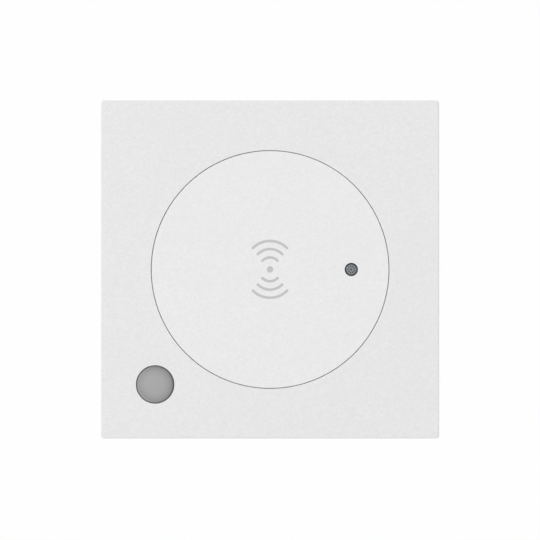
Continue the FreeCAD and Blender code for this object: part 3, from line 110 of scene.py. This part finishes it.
# Grain, clouds and gloss of plastic and metal, with sizes in mm
GRAIN_RANGE = (0.3, 0.7)
CLOUD_SIZE = 9.0
CLOUD_SHARE = 0.4
GLOSS_PATCH = 3.0
GLOSS_RANGE = 0.04
DRAWN_LINE = 0.12
METAL_CLOUD = 2.5
METAL_TONES = (0.9, 1.04)
METAL_GLOSS = (-0.07, 0.09)

# Circuit boards, in mm, and the vias' soft edge in parts of their spacing
TRACK_PITCH = 0.7
TRACK_WIDTH = 0.22
TRACK_EDGE = 0.02
TRACK_HEIGHT = 0.02
TRACK_PATCH = 5.0
TRACKS_LEFT_OUT = 0.45
VIA_SPACING = 2.5
VIA_RANDOMNESS = 0.9
VIA_EDGE = (0.10, 0.13)
WEAVE_SIZE = 0.3
WEAVE_TONES = (0.85, 1.15)
WEAVE_GLOSS = (0.33, 0.42)
CAPACITOR_BASE = 0.8

# Chip resistors and capacitors
CHIP_MATERIALS = ("passive_brown", "chip_black", "tinned_metal")
RESISTOR_EVERY = 3
CAP_SHARE = 0.24
CAP_STEP = 0.02 * MM
CHIP_ROUNDING = 0.025 * MM
MERGE_DISTANCE = 0.0001 * MM

# Key, in mm: painted shade towards its rim, and on its edge a painted highlight on the left and painted
# shade on the right, with the tints on the left and on the right
KEY_RIM = 3.0
KEY_PAINTED_SHADE_START = 1.1
KEY_PAINTED_SHADE_POWER = 1.6
KEY_PAINTED_SHADE_TINTS = (0.72, 0.64)
KEY_PAINTED_EDGE_START = 2.65
KEY_EDGE_LIGHT_AND_SHADE_TINTS = (1.6, 0.64)
KEY_PAINTED_SHADE_SIDE = (math.cos(math.radians(5)), 0.0, math.sin(math.radians(5)))

# Status light
LENS_RADIUS = 0.88 * MM
LENS_DOME = 0.16 * MM
LENS_FLANGE = 0.5 * MM
LENS_RIM = 0.05 * MM
LENS_RIM_DEPTH = 0.03 * MM
LENS_RINGS = 44
LENS_STEPS = 160
DIMPLE_RING = 0.53 * MM
DIMPLE_COUNT = 9
DIMPLE_RADIUS = 0.20 * MM
MIDDLE_DIMPLE = 0.38 * MM
DIMPLE_DEPTH = 0.14 * MM

# Choke winding
COIL_CORE_RADIUS = 1.6 * MM
COIL_WIRE = 0.3 * MM
COIL_STEPS = 48
COIL_SIDES = 10

# Edges sharper than this many degrees stay sharp
CREASE = 30.0
WIRE_CREASE = 50.0


def surface(name, colour, roughness, metallic=0.0, **sockets):
    """A principled material. Sockets are named with underscores for spaces."""
    material = bpy.data.materials.new(name)
    material.use_nodes = True
    shader = material.node_tree.nodes["Principled BSDF"]
    shader.inputs["Base Color"].default_value = (*colour, 1.0)
    shader.inputs["Roughness"].default_value = roughness
    shader.inputs["Metallic"].default_value = metallic
    for key, value in sockets.items():
        shader.inputs[key.replace("_", " ")].default_value = value
    return material


def add(material, kind, inputs=None, **settings):
    """A new node in a material or world. An input that is a socket is linked, any other is set."""
    made = material.node_tree.nodes.new(kind)
    for key, value in settings.items():
        setattr(made, key, value)
    for key, value in (inputs or {}).items():
        if isinstance(value, bpy.types.NodeSocket):
            material.node_tree.links.new(value, made.inputs[key])
        else:
            made.inputs[key].default_value = value
    return made


def place(material, stretch=(1.0, 1.0, 1.0)):
    """The object's own coordinates in millimetres, shrunk along each axis by stretch."""
    coordinates = add(material, "ShaderNodeTexCoord").outputs["Object"]
    scale = tuple(1.0 / (MM * s) for s in stretch)
    return add(material, "ShaderNodeMapping", {"Vector": coordinates, "Scale": scale}).outputs["Vector"]


def from_axis(material, centre):
    """The offset in millimetres from an axis along the depth through this centre."""
    coordinates = add(material, "ShaderNodeTexCoord").outputs["Object"]
    inputs = {"Vector": coordinates, "Location": (-centre.x / MM, 0.0, -centre.z / MM)}
    inputs["Scale"] = (1.0 / MM, 0.0, 1.0 / MM)
    return add(material, "ShaderNodeMapping", inputs).outputs["Vector"]


def noise(material, size, stretch=(1.0, 1.0, 1.0), detail=2.0, roughness=0.5):
    """A soft random pattern with features of this size in millimetres."""
    inputs = {"Vector": place(material, stretch), "Scale": 1.0 / size, "Detail": detail}
    inputs["Roughness"] = roughness
    return add(material, "ShaderNodeTexNoise", inputs).outputs["Fac"]


def spread(material, pattern, low, high, start=0.25, stop=0.75):
    """A pattern stretched to run from low to high."""
    inputs = {"Value": pattern, "From Min": start, "From Max": stop, "To Min": low, "To Max": high}
    return add(material, "ShaderNodeMapRange", inputs).outputs["Result"]


def blend_colour(material, pattern, first, second):
    """Two colours blended by a pattern; either may be a socket."""
    def filled(colour):
        return colour if isinstance(colour, bpy.types.NodeSocket) else (*colour, 1.0)
    inputs = {0: pattern, 6: filled(first), 7: filled(second)}
    return add(material, "ShaderNodeMix", inputs, data_type="RGBA").outputs[2]


def paint(material, colour=None, roughness=None, normal=None, metallic=None):
    """Links patterns to the shader."""
    shader = material.node_tree.nodes["Principled BSDF"]
    sources = {"Base Color": colour, "Roughness": roughness, "Normal": normal, "Metallic": metallic}
    for key, source in sources.items():
        if source is not None:
            material.node_tree.links.new(source, shader.inputs[key])


def painted_colour(material):
    """The pattern that now colours the shader."""
    return material.node_tree.nodes["Principled BSDF"].inputs["Base Color"].links[0].from_socket


def bump(material, pattern, height):
    """A relief of this height in millimetres."""
    made = add(material, "ShaderNodeBump", {"Height": pattern, "Distance": height * MM})
    return made.outputs["Normal"]


def tinted(colour, factor):
    """A colour made paler or darker."""
    return tuple(min(1.0, c * factor) for c in colour)


def moulded(name, colour, roughness, mottle=0.02, grain=0.006, size=0.35, **sockets):
    """Plastic from an eroded mould: fine matt grain, faint clouds, uneven gloss."""
    material = surface(name, colour, roughness, **sockets)
    fine = noise(material, size, detail=3.0, roughness=0.55)
    cloud = noise(material, CLOUD_SIZE)
    grains = blend_colour(material, spread(material, fine, 0.0, 1.0, *GRAIN_RANGE),
                          tinted(colour, 1 - mottle), tinted(colour, 1 + mottle))
    clouded = blend_colour(material, spread(material, cloud, 0.0, CLOUD_SHARE), grains,
                           tinted(colour, 1 - mottle / 2))
    patches = noise(material, GLOSS_PATCH)
    gloss = spread(material, patches, roughness - GLOSS_RANGE, roughness + GLOSS_RANGE)
    paint(material, clouded, gloss, bump(material, fine, grain))
    return material


def metal(name, colour, roughness, stretch=(1.0, 1.0, 1.0), scratch=0.004, **sockets):
    """Sheet or wire metal with fine drawn lines and a slightly uneven tone."""
    material = surface(name, colour, roughness, 1.0, **sockets)
    lines = noise(material, DRAWN_LINE, stretch, detail=4.0, roughness=0.6)
    cloud = noise(material, METAL_CLOUD)
    dark, pale = (tinted(colour, tone) for tone in METAL_TONES)
    tone = blend_colour(material, spread(material, cloud, 0.0, 1.0), dark, pale)
    gloss = spread(material, lines, *(roughness + change for change in METAL_GLOSS))
    paint(material, tone, gloss, bump(material, lines, scratch))
    return material


def maths(material, operation, first, second):
    """A sum on two values; either may be a socket."""
    return add(material, "ShaderNodeMath", {0: first, 1: second}, operation=operation).outputs["Value"]


def vector_maths(material, operation, first, second=(0.0, 0.0, 0.0)):
    """The number that a sum on two vectors gives; either may be a socket."""
    made = add(material, "ShaderNodeVectorMath", {0: first, 1: second}, operation=operation)
    return made.outputs["Value"]


def tracks_along(material, position, patch):
    """Parallel copper tracks at even steps across this position, some left out in each patch."""
    away = maths(material, "PINGPONG", position, TRACK_PITCH / 2)
    half = TRACK_WIDTH / 2
    line = spread(material, away, 1.0, 0.0, half - TRACK_EDGE, half + TRACK_EDGE)
    number = maths(material, "ROUND", maths(material, "DIVIDE", position, TRACK_PITCH), 0.0)
    seed = add(material, "ShaderNodeCombineXYZ", {"X": number, "Y": patch}).outputs["Vector"]
    chance = add(material, "ShaderNodeTexWhiteNoise", {"Vector": seed}).outputs["Value"]
    return maths(material, "MULTIPLY", line, maths(material, "GREATER_THAN", chance, TRACKS_LEFT_OUT))


def cells(material, size, randomness=1.0, distance="EUCLIDEAN"):
    """A pattern of cells of about this size in millimetres."""
    inputs = {"Vector": place(material), "Scale": 1.0 / size, "Randomness": randomness}
    return add(material, "ShaderNodeTexVoronoi", inputs, distance=distance).outputs


def laminate(name, mask, trace, via):
    """A circuit board: tracks under the solder mask, small vias, woven glass beneath."""
    material = surface(name, mask, 0.38, Coat_Weight=0.3, Coat_Roughness=0.25)
    patches = cells(material, TRACK_PATCH, distance="CHEBYCHEV")
    patch = add(material, "ShaderNodeSeparateColor", {"Color": patches["Color"]}).outputs[0]
    axes = add(material, "ShaderNodeSeparateXYZ", {"Vector": place(material)}).outputs
    upright = tracks_along(material, axes["X"], patch)
    level = tracks_along(material, axes["Z"], patch)
    turned = maths(material, "GREATER_THAN", patch, 0.5)
    flat = maths(material, "MULTIPLY", level, maths(material, "SUBTRACT", 1.0, turned))
    lines = maths(material, "ADD", maths(material, "MULTIPLY", upright, turned), flat)
    dots = cells(material, VIA_SPACING, VIA_RANDOMNESS)
    vias = spread(material, dots["Distance"], 1.0, 0.0, *VIA_EDGE)
    weave = noise(material, WEAVE_SIZE, detail=1.0)
    dark, pale = (tinted(mask, tone) for tone in WEAVE_TONES)
    base = blend_colour(material, spread(material, weave, 0.0, 1.0), dark, pale)
    tracked = blend_colour(material, lines, base, trace)
    dotted = blend_colour(material, vias, tracked, via)
    gloss = spread(material, weave, *WEAVE_GLOSS)
    paint(material, dotted, gloss, bump(material, lines, TRACK_HEIGHT))
    return material


def capacitor_can(name):
    """An aluminium can on a black base, which is the part next to the rear board."""
    material = metal(name, (0.72, 0.72, 0.72), 0.26, (6.0, 0.6, 6.0), 0.002)
    base_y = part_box("buffer_capacitors")[1].y / MM - CAPACITOR_BASE
    axes = add(material, "ShaderNodeSeparateXYZ", {"Vector": place(material)}).outputs
    above = maths(material, "LESS_THAN", axes["Y"], base_y)
    tone = blend_colour(material, above, (0.02, 0.02, 0.022), painted_colour(material))
    paint(material, tone, metallic=above)
    return material


def key_with_painted_light_and_shade(name, colour, roughness):
    """Translucent satin plastic with painted shade: darker towards the rim, with a painted highlight on
    the left of its edge and painted shade on the right.
    """
    material = moulded(name, colour, roughness, 0.012, 0.003)
    low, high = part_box("function_key")
    offset = from_axis(material, (low + high) / 2)
    away = vector_maths(material, "LENGTH", offset)
    # The painted light comes from the left: across runs from the painted lit side to the painted shaded
    # side
    across = vector_maths(material, "DOT_PRODUCT", offset, KEY_PAINTED_SHADE_SIDE)
    side = spread(material, across, 0.0, 1.0, -KEY_RIM, KEY_RIM)
    inwards = spread(material, away, 0.0, 1.0, KEY_PAINTED_SHADE_START, KEY_RIM)
    steep = maths(material, "POWER", inwards, KEY_PAINTED_SHADE_POWER)
    rim = spread(material, away, 0.0, 1.0, KEY_PAINTED_EDGE_START, KEY_RIM)
    # Painted shade over the cap, and on the edge a painted highlight on the lit side and painted shade
    # on the other
    painted_shade, edge = (blend_colour(material, side, tinted(colour, left), tinted(colour, right))
                   for left, right in (KEY_PAINTED_SHADE_TINTS, KEY_EDGE_LIGHT_AND_SHADE_TINTS))
    cap = blend_colour(material, steep, painted_colour(material), painted_shade)
    paint(material, blend_colour(material, rim, cap, edge))
    return material


def lens_plastic(name, colour, roughness, pit_shade):
    """Frosted plastic with painted shade in its dimples, darker where less light leaves them."""
    material = moulded(name, colour, roughness, 0.12, 0.004, 0.15, Coat_Weight=0.5, Coat_Roughness=0.1)
    share = add(material, "ShaderNodeAttribute", attribute_name="dimple").outputs["Fac"]
    paint(material, blend_colour(material, share, painted_colour(material), tinted(colour, pit_shade)))
    return material


MATERIALS = {
    "white_plate": moulded("white_plate", (0.80, 0.80, 0.80), 0.50, 0.046, 0.004),
    "white_disc": moulded("white_disc", (0.823, 0.823, 0.823), 0.48, 0.042, 0.004),
    "dark_sleeve": moulded("dark_sleeve", (0.012, 0.013, 0.014), 0.5, 0.1, Specular_IOR_Level=0.2),
    # clear_lens: its last number is the tint of the painted shade in the dimples
    "clear_lens": lens_plastic("clear_lens", (0.245, 0.285, 0.297), 0.25, 0.08),
    # grey_key: painted shade towards the rim, and a painted highlight and painted shade on its edge
    "grey_key": key_with_painted_light_and_shade("grey_key", (0.372, 0.372, 0.372), 0.42),
    "black_plastic": moulded("black_plastic", (0.025, 0.025, 0.027), 0.42, 0.1),
    "steel_sheet": metal("steel_sheet", (0.62, 0.61, 0.59), 0.28, (6.0, 0.5, 6.0)),
    "tinned_metal": metal("tinned_metal", (0.70, 0.70, 0.69), 0.32),
    "white_carrier": moulded("white_carrier", (0.72, 0.72, 0.71), 0.55, 0.02),
    "zinc_screw": metal("zinc_screw", (0.66, 0.67, 0.69), 0.30),
    "dark_laminate": laminate("dark_laminate", (0.012, 0.035, 0.05),
                              (0.02, 0.06, 0.08), (0.55, 0.42, 0.16)),
    "green_laminate": laminate("green_laminate", (0.015, 0.10, 0.035),
                               (0.03, 0.17, 0.055), (0.60, 0.45, 0.17)),
    "gold_plating": metal("gold_plating", (0.83, 0.62, 0.25), 0.25, scratch=0.001),
    "chip_black": moulded("chip_black", (0.022, 0.022, 0.024), 0.55, 0.12, 0.004, 0.12),
    "led_white": moulded("led_white", (0.75, 0.75, 0.70), 0.30, 0.03),
    "passive_brown": moulded("passive_brown", (0.16, 0.10, 0.06), 0.45, 0.15, 0.003, 0.2),
    "ferrite": moulded("ferrite", (0.05, 0.05, 0.052), 0.60, 0.2, 0.01, 0.2),
    "copper_wire": metal("copper_wire", (0.60, 0.23, 0.09), 0.28, scratch=0.001, Coat_Weight=0.6),
    "grey_housing": moulded("grey_housing", (0.52, 0.53, 0.53), 0.50, 0.03, 0.008),
    "red_plastic": moulded("red_plastic", (0.46, 0.022, 0.020), 0.38, 0.06, 0.004),
    "anthracite_plastic": moulded("anthracite_plastic", (0.032, 0.034, 0.037), 0.40, 0.1, 0.005),
    "spring_steel": metal("spring_steel", (0.50, 0.50, 0.49), 0.24, (0.4, 8.0, 0.4), 0.003),
    "capacitor_can": capacitor_can("capacitor_can"),
    "grey_ink": moulded("grey_ink", (0.54, 0.54, 0.54), 0.55, 0.02, 0.002),
}
OWN_MATERIALS = {"buffer_capacitors": "capacitor_can"}


def dress_nodes():
    """Gives every node its own material, or else the material of its slot."""
    for part in frame["record"]["subparts"]:
        mesh = NODES[part["node"]].data
        mesh.materials.clear()
        mesh.materials.append(MATERIALS[OWN_MATERIALS.get(part["node"], part["material_slot"])])


def new_piece(name, form, slot, body, material=None):
    """A new piece of the object from a bmesh, riding on a body."""
    mesh = bpy.data.meshes.new(name)
    form.to_mesh(mesh)
    form.free()
    mesh.materials.append(MATERIALS[material or slot])
    piece = bpy.data.objects.new(name, mesh)
    bpy.context.scene.collection.objects.link(piece)
    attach(piece, body)
    return piece


def print_strip(form, columns, y):
    """A thin printed strip from columns of two points (x, z), raised from depth y."""
    front = []
    back = []
    for pair in columns:
        front.append([form.verts.new((x, y - PRINT_THICKNESS, z)) for x, z in pair])
        back.append([form.verts.new((x, y, z)) for x, z in pair])
    for i in range(len(columns) - 1):
        form.faces.new((front[i][0], front[i][1], front[i + 1][1], front[i + 1][0]))
        form.faces.new((back[i][1], back[i][0], back[i + 1][0], back[i + 1][1]))
        for side in (0, 1):
            corners = (front[i][side], front[i + 1][side], back[i + 1][side], back[i][side])
            form.faces.new(corners if side == 0 else corners[::-1])
    for last, order in ((0, 1), (-1, -1)):
        corners = (front[last][0], back[last][0], back[last][1], front[last][1])
        form.faces.new(corners[::order])


def round_end(count):
    """Offsets along a round end, from near its tip, and half widths there, in parts of its radius."""
    angles = [math.pi / 2 * (i + WAVE_TIP) / count for i in range(count)]
    return [(math.cos(a), math.sin(a)) for a in angles]


def wave(form, radius, offset, span, up, y):
    """One printed arc with round ends, above the dot (up 1) or below it (up -1)."""
    half = PRINT_LINE / 2
    reach = math.radians(span) * radius
    end = round_end(WAVE_END_STEPS)
    stations = [(-reach - half * c, half * s) for c, s in end]
    stations += [(-reach + 2 * reach * i / WAVE_STEPS, half) for i in range(WAVE_STEPS + 1)]
    stations += [(reach + half * c, half * s) for c, s in reversed(end)]
    columns = []
    for along, width in stations:
        angle = along / radius
        columns.append([
            (SIGN_X + (radius + side * width) * math.sin(angle),
             SIGN_Z + up * (offset + (radius + side * width) * math.cos(angle)))
            for side in (-1, 1)
        ])
    print_strip(form, columns, y)


def dot(form, y):
    """The round dot in the middle of the sign."""
    angles = [math.pi * (i + DOT_TIP) / (DOT_STEPS + 2 * DOT_TIP) for i in range(DOT_STEPS + 1)]
    columns = [[(SIGN_X - DOT_RADIUS * math.cos(a), SIGN_Z + side * DOT_RADIUS * math.sin(a))
                for side in (-1, 1)] for a in angles]
    print_strip(form, columns, y)


def printed_sign():
    """A dot with three waves above and three below, printed on the round cover."""
    form = bmesh.new()
    dot(form, FACE_Y)
    for up in (1, -1):
        for radius, offset, span in WAVES:
            wave(form, radius, offset, span, up, FACE_Y)
    bmesh.ops.recalc_face_normals(form, faces=form.faces)
    return new_piece("printed_sign", form, "white_disc", "front_cover", "grey_ink")


def solid_boxes(node):
    """The lowest and highest corners of each separate solid in a node."""
    form = bmesh.new()
    form.from_mesh(NODES[node].data)
    bmesh.ops.remove_doubles(form, verts=form.verts, dist=MERGE_DISTANCE)
    left = set(form.verts)
    boxes = []
    while left:
        group = [left.pop()]
        for vert in group:
            for edge in vert.link_edges:
                other = edge.other_vert(vert)
                if other in left:
                    left.remove(other)
                    group.append(other)
        low, high = ([pick(v.co[axis] for v in group) for axis in range(3)] for pick in (min, max))
        boxes.append((Vector(low), Vector(high)))
    form.free()
    return sorted(boxes, key=lambda box: tuple(round(c / MM, 3) for c in box[0]))


def rounded_block(form, low, high, rounding, material_index):
    """A block between two corners with rounded edges."""
    block = bmesh.new()
    bmesh.ops.create_cube(block, size=1.0)
    middle = (low + high) / 2
    for vert in block.verts:
        vert.co = Vector([middle[i] + vert.co[i] * (high[i] - low[i]) for i in range(3)])
    bmesh.ops.bevel(block, geom=block.edges, offset=rounding, segments=2, affect="EDGES", profile=0.5)
    for face in block.faces:
        face.material_index = material_index
    mesh = bpy.data.meshes.new("block")
    block.to_mesh(mesh)
    block.free()
    form.from_mesh(mesh)
    bpy.data.meshes.remove(mesh)


def chip_parts(name, node):
    """Chip resistors and capacitors in place of a node's blocks: a body between two tinned ends."""
    brown, black, tinned = range(len(CHIP_MATERIALS))
    step = Vector([CAP_STEP] * 3)
    form = bmesh.new()
    for number, (low, high) in enumerate(solid_boxes(node)):
        size = high - low
        along = 0 if size.x > size.z else 2
        cap = size[along] * CAP_SHARE
        body = brown if number % RESISTOR_EVERY else black
        rounded_block(form, low + step, high - step, CHIP_ROUNDING, body)
        near = high.copy()
        near[along] = low[along] + cap
        rounded_block(form, low, near, CHIP_ROUNDING, tinned)
        far = low.copy()
        far[along] = high[along] - cap
        rounded_block(form, far, high, CHIP_ROUNDING, tinned)
    piece = new_piece(name, form, CHIP_MATERIALS[brown], "insert")
    for other in (black, tinned):
        piece.data.materials.append(MATERIALS[CHIP_MATERIALS[other]])
    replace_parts(piece, node)


def lens_dimples():
    """The place and radius of each dimple: a wide one in the middle and a ring of small ones."""
    angles = [2 * math.pi * (i + 0.5) / DIMPLE_COUNT for i in range(DIMPLE_COUNT)]
    ring = [(DIMPLE_RING * math.cos(a), DIMPLE_RING * math.sin(a), DIMPLE_RADIUS) for a in angles]
    return [(0.0, 0.0, MIDDLE_DIMPLE)] + ring


def dimple_share(x, z, dimples):
    """How deep this place lies in a dimple, from nought on its rim to one in its middle."""
    near = min(math.hypot(x - across, z - up) / radius for across, up, radius in dimples)
    return 0.5 + 0.5 * math.cos(math.pi * min(1.0, near))


def dome_height(across):
    """How far the lens's dome and rim stand behind its crown, this far from the middle."""
    curve = (LENS_RADIUS ** 2 + LENS_DOME ** 2) / (2 * LENS_DOME)
    groove = 1 - abs(across - LENS_RADIUS + LENS_RIM) / LENS_RIM
    return curve - math.sqrt(curve ** 2 - across ** 2) + LENS_RIM_DEPTH * max(0.0, groove)


def circle(form, centre, across, y, steps):
    """A loop of corners round an axis along the depth, this far from it."""
    angles = [2 * math.pi * i / steps for i in range(steps)]
    return [form.verts.new((centre.x + across * math.cos(a), y, centre.z + across * math.sin(a)))
            for a in angles]


def join_loops(form, loops):
    """Joins each loop to the next, which has as many corners."""
    steps = len(loops[0])
    for first, second in zip(loops, loops[1:]):
        for i in range(steps):
            j = (i + 1) % steps
            form.faces.new((first[i], first[j], second[j], second[i]))


def join_and_close(form, loops):
    """Joins the loops and closes the first and the last with a face each."""
    join_loops(form, loops)
    form.faces.new(loops[0])
    form.faces.new(loops[-1][::-1])


def smooth_faces(form, angle):
    """Shades a form smooth, apart from its edges that are sharper than this angle."""
    for face in form.faces:
        face.smooth = True
    for edge in form.edges:
        edge.smooth = len(edge.link_faces) < 2 or edge.calc_face_angle() < math.radians(angle)


def status_lens():
    """The frosted lens of the status light: a dome with a rim and fine dimples, and its flange."""
    low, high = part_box("status_lens")
    centre = (low + high) / 2
    dimples = lens_dimples()
    flange = (high.x - low.x) / 2
    shoulder = high.y - LENS_FLANGE
    form = bmesh.new()
    # Each corner's dimple share, which sets the painted shade in the lens's dimples
    depth = form.verts.layers.float.new("dimple")
    loops = []
    for ring in range(1, LENS_RINGS + 1):
        across = LENS_RADIUS * ring / LENS_RINGS
        loop = []
        for i in range(LENS_STEPS):
            x = across * math.cos(2 * math.pi * i / LENS_STEPS)
            z = across * math.sin(2 * math.pi * i / LENS_STEPS)
            share = dimple_share(x, z, dimples)
            y = low.y + dome_height(across) + DIMPLE_DEPTH * share
            loop.append(form.verts.new((centre.x + x, y, centre.z + z)))
            loop[-1][depth] = share
        loops.append(loop)
    for across, y in ((LENS_RADIUS, shoulder), (flange, shoulder), (flange, high.y)):
        loops.append(circle(form, centre, across, y, LENS_STEPS))
    join_and_close(form, loops)
    bmesh.ops.recalc_face_normals(form, faces=form.faces)
    smooth_faces(form, CREASE)
    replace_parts(new_piece("dimpled_lens", form, "clear_lens", "front_cover"), "status_lens")


def wire_loop(form, centre, angle, across, y):
    """The corners of a round wire's section, where it passes this angle round the axis."""
    loop = []
    for i in range(COIL_SIDES):
        turn = 2 * math.pi * i / COIL_SIDES
        out = across + COIL_WIRE / 2 * math.cos(turn)
        x = centre.x + out * math.cos(angle)
        z = centre.z + out * math.sin(angle)
        loop.append(form.verts.new((x, y + COIL_WIRE / 2 * math.sin(turn), z)))
    return loop


def choke_winding():
    """The choke's winding: one layer of round wire, wound as a screw over the layers under it."""
    low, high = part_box("choke_coil")
    centre = (low + high) / 2
    across = (high.x - low.x) / 2 - COIL_WIRE / 2
    form = bmesh.new()
    section = ((COIL_CORE_RADIUS, low.y), (across, low.y), (across, high.y), (COIL_CORE_RADIUS, high.y))
    inner = [circle(form, centre, radius, y, COIL_STEPS) for radius, y in section]
    join_loops(form, inner + inner[:1])
    climb = high.y - low.y - COIL_WIRE
    steps = math.floor(climb / COIL_WIRE) * COIL_STEPS
    wire = []
    for i in range(steps + 1):
        angle = 2 * math.pi * i / COIL_STEPS
        wire.append(wire_loop(form, centre, angle, across, low.y + COIL_WIRE / 2 + climb * i / steps))
    join_and_close(form, wire)
    bmesh.ops.recalc_face_normals(form, faces=form.faces)
    smooth_faces(form, WIRE_CREASE)
    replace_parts(new_piece("choke_winding", form, "copper_wire", "insert"), "choke_coil")


def seen_rays(owner):
    """One for the rays that show a surface to the camera or in gloss or glass, else nought."""
    path = add(owner, "ShaderNodeLightPath").outputs
    seen = maths(owner, "MAXIMUM", path["Is Camera Ray"], path["Is Glossy Ray"])
    return maths(owner, "MAXIMUM", seen, path["Is Transmission Ray"])


def mix_shaders(owner, share, first, second, output):
    """Sends two shaders, blended by a share of the second, to the output."""
    mix = add(owner, "ShaderNodeMixShader", {0: share, 1: first.outputs[0], 2: second.outputs[0]})
    add(owner, output, {0: mix.outputs[0]})


def set_world():
    """A plain white studio round the object."""
    world = bpy.data.worlds.new("studio")
    bpy.context.scene.world = world
    world.use_nodes = True
    world.node_tree.nodes.clear()
    light = add(world, "ShaderNodeBackground", {"Color": (1.0, 1.0, 1.0, 1.0), "Strength": WORLD_LEVEL})
    white = add(world, "ShaderNodeBackground", {"Color": STUDIO_WHITE, "Strength": 1.0})
    mix_shaders(world, seen_rays(world), light, white, "ShaderNodeOutputWorld")


def add_floor():
    """A pale floor below the sensor: it shows the shadow near by and is plain white further off."""
    material = bpy.data.materials.new("studio_floor")
    material.use_nodes = True
    material.node_tree.nodes.clear()
    matt = add(material, "ShaderNodeBsdfDiffuse", {"Color": FLOOR_COLOUR})
    white = add(material, "ShaderNodeEmission", {"Color": STUDIO_WHITE, "Strength": 1.0})
    where = add(material, "ShaderNodeTexCoord").outputs["Object"]
    away = vector_maths(material, "LENGTH", where)
    share = spread(material, away, FLOOR_WHITE, 1.0, FLOOR_NEAR, FLOOR_FAR)
    whitened = maths(material, "MULTIPLY", seen_rays(material), share)
    mix_shaders(material, whitened, matt, white, "ShaderNodeOutputMaterial")
    bpy.ops.mesh.primitive_plane_add(size=FLOOR_SIZE, location=(0.0, 0.0, FLOOR_Z))
    floor = bpy.context.object
    floor.name = "floor"
    floor.data.materials.append(material)


def add_lamp(name, location, size, power):
    """A large soft lamp that looks at the object."""
    data = bpy.data.lights.new(name, "AREA")
    data.shape = "DISK"
    data.size = size
    data.energy = power
    lamp = bpy.data.objects.new(name, data)
    lamp.location = location
    lamp.rotation_mode = "QUATERNION"
    lamp.rotation_quaternion = (-Vector(location)).to_track_quat("-Z", "Y")
    bpy.context.scene.collection.objects.link(lamp)


def add_camera():
    """A view straight on, from far enough to be almost without perspective."""
    data = bpy.data.cameras.new("camera")
    data.sensor_width = SENSOR_WIDTH
    data.lens = SENSOR_WIDTH * VIEW_DISTANCE / VIEW_WIDTH
    camera = bpy.data.objects.new("camera", data)
    camera.location = (VIEW_X, FACE_Y - VIEW_DISTANCE, VIEW_Z)
    camera.rotation_euler = (math.pi / 2, 0.0, 0.0)
    bpy.context.scene.collection.objects.link(camera)
    bpy.context.scene.camera = camera


dress_nodes()
printed_sign()
status_lens()
chip_parts("front_chip_parts", "front_board_parts")
chip_parts("rear_chip_parts", "rear_board_parts")
choke_winding()
set_world()
add_floor()
for lamp_name, (lamp_place, lamp_size, lamp_power) in LAMPS.items():
    add_lamp(lamp_name, lamp_place, lamp_size, lamp_power)
add_camera()
bpy.context.scene.view_settings.view_transform = "Standard"
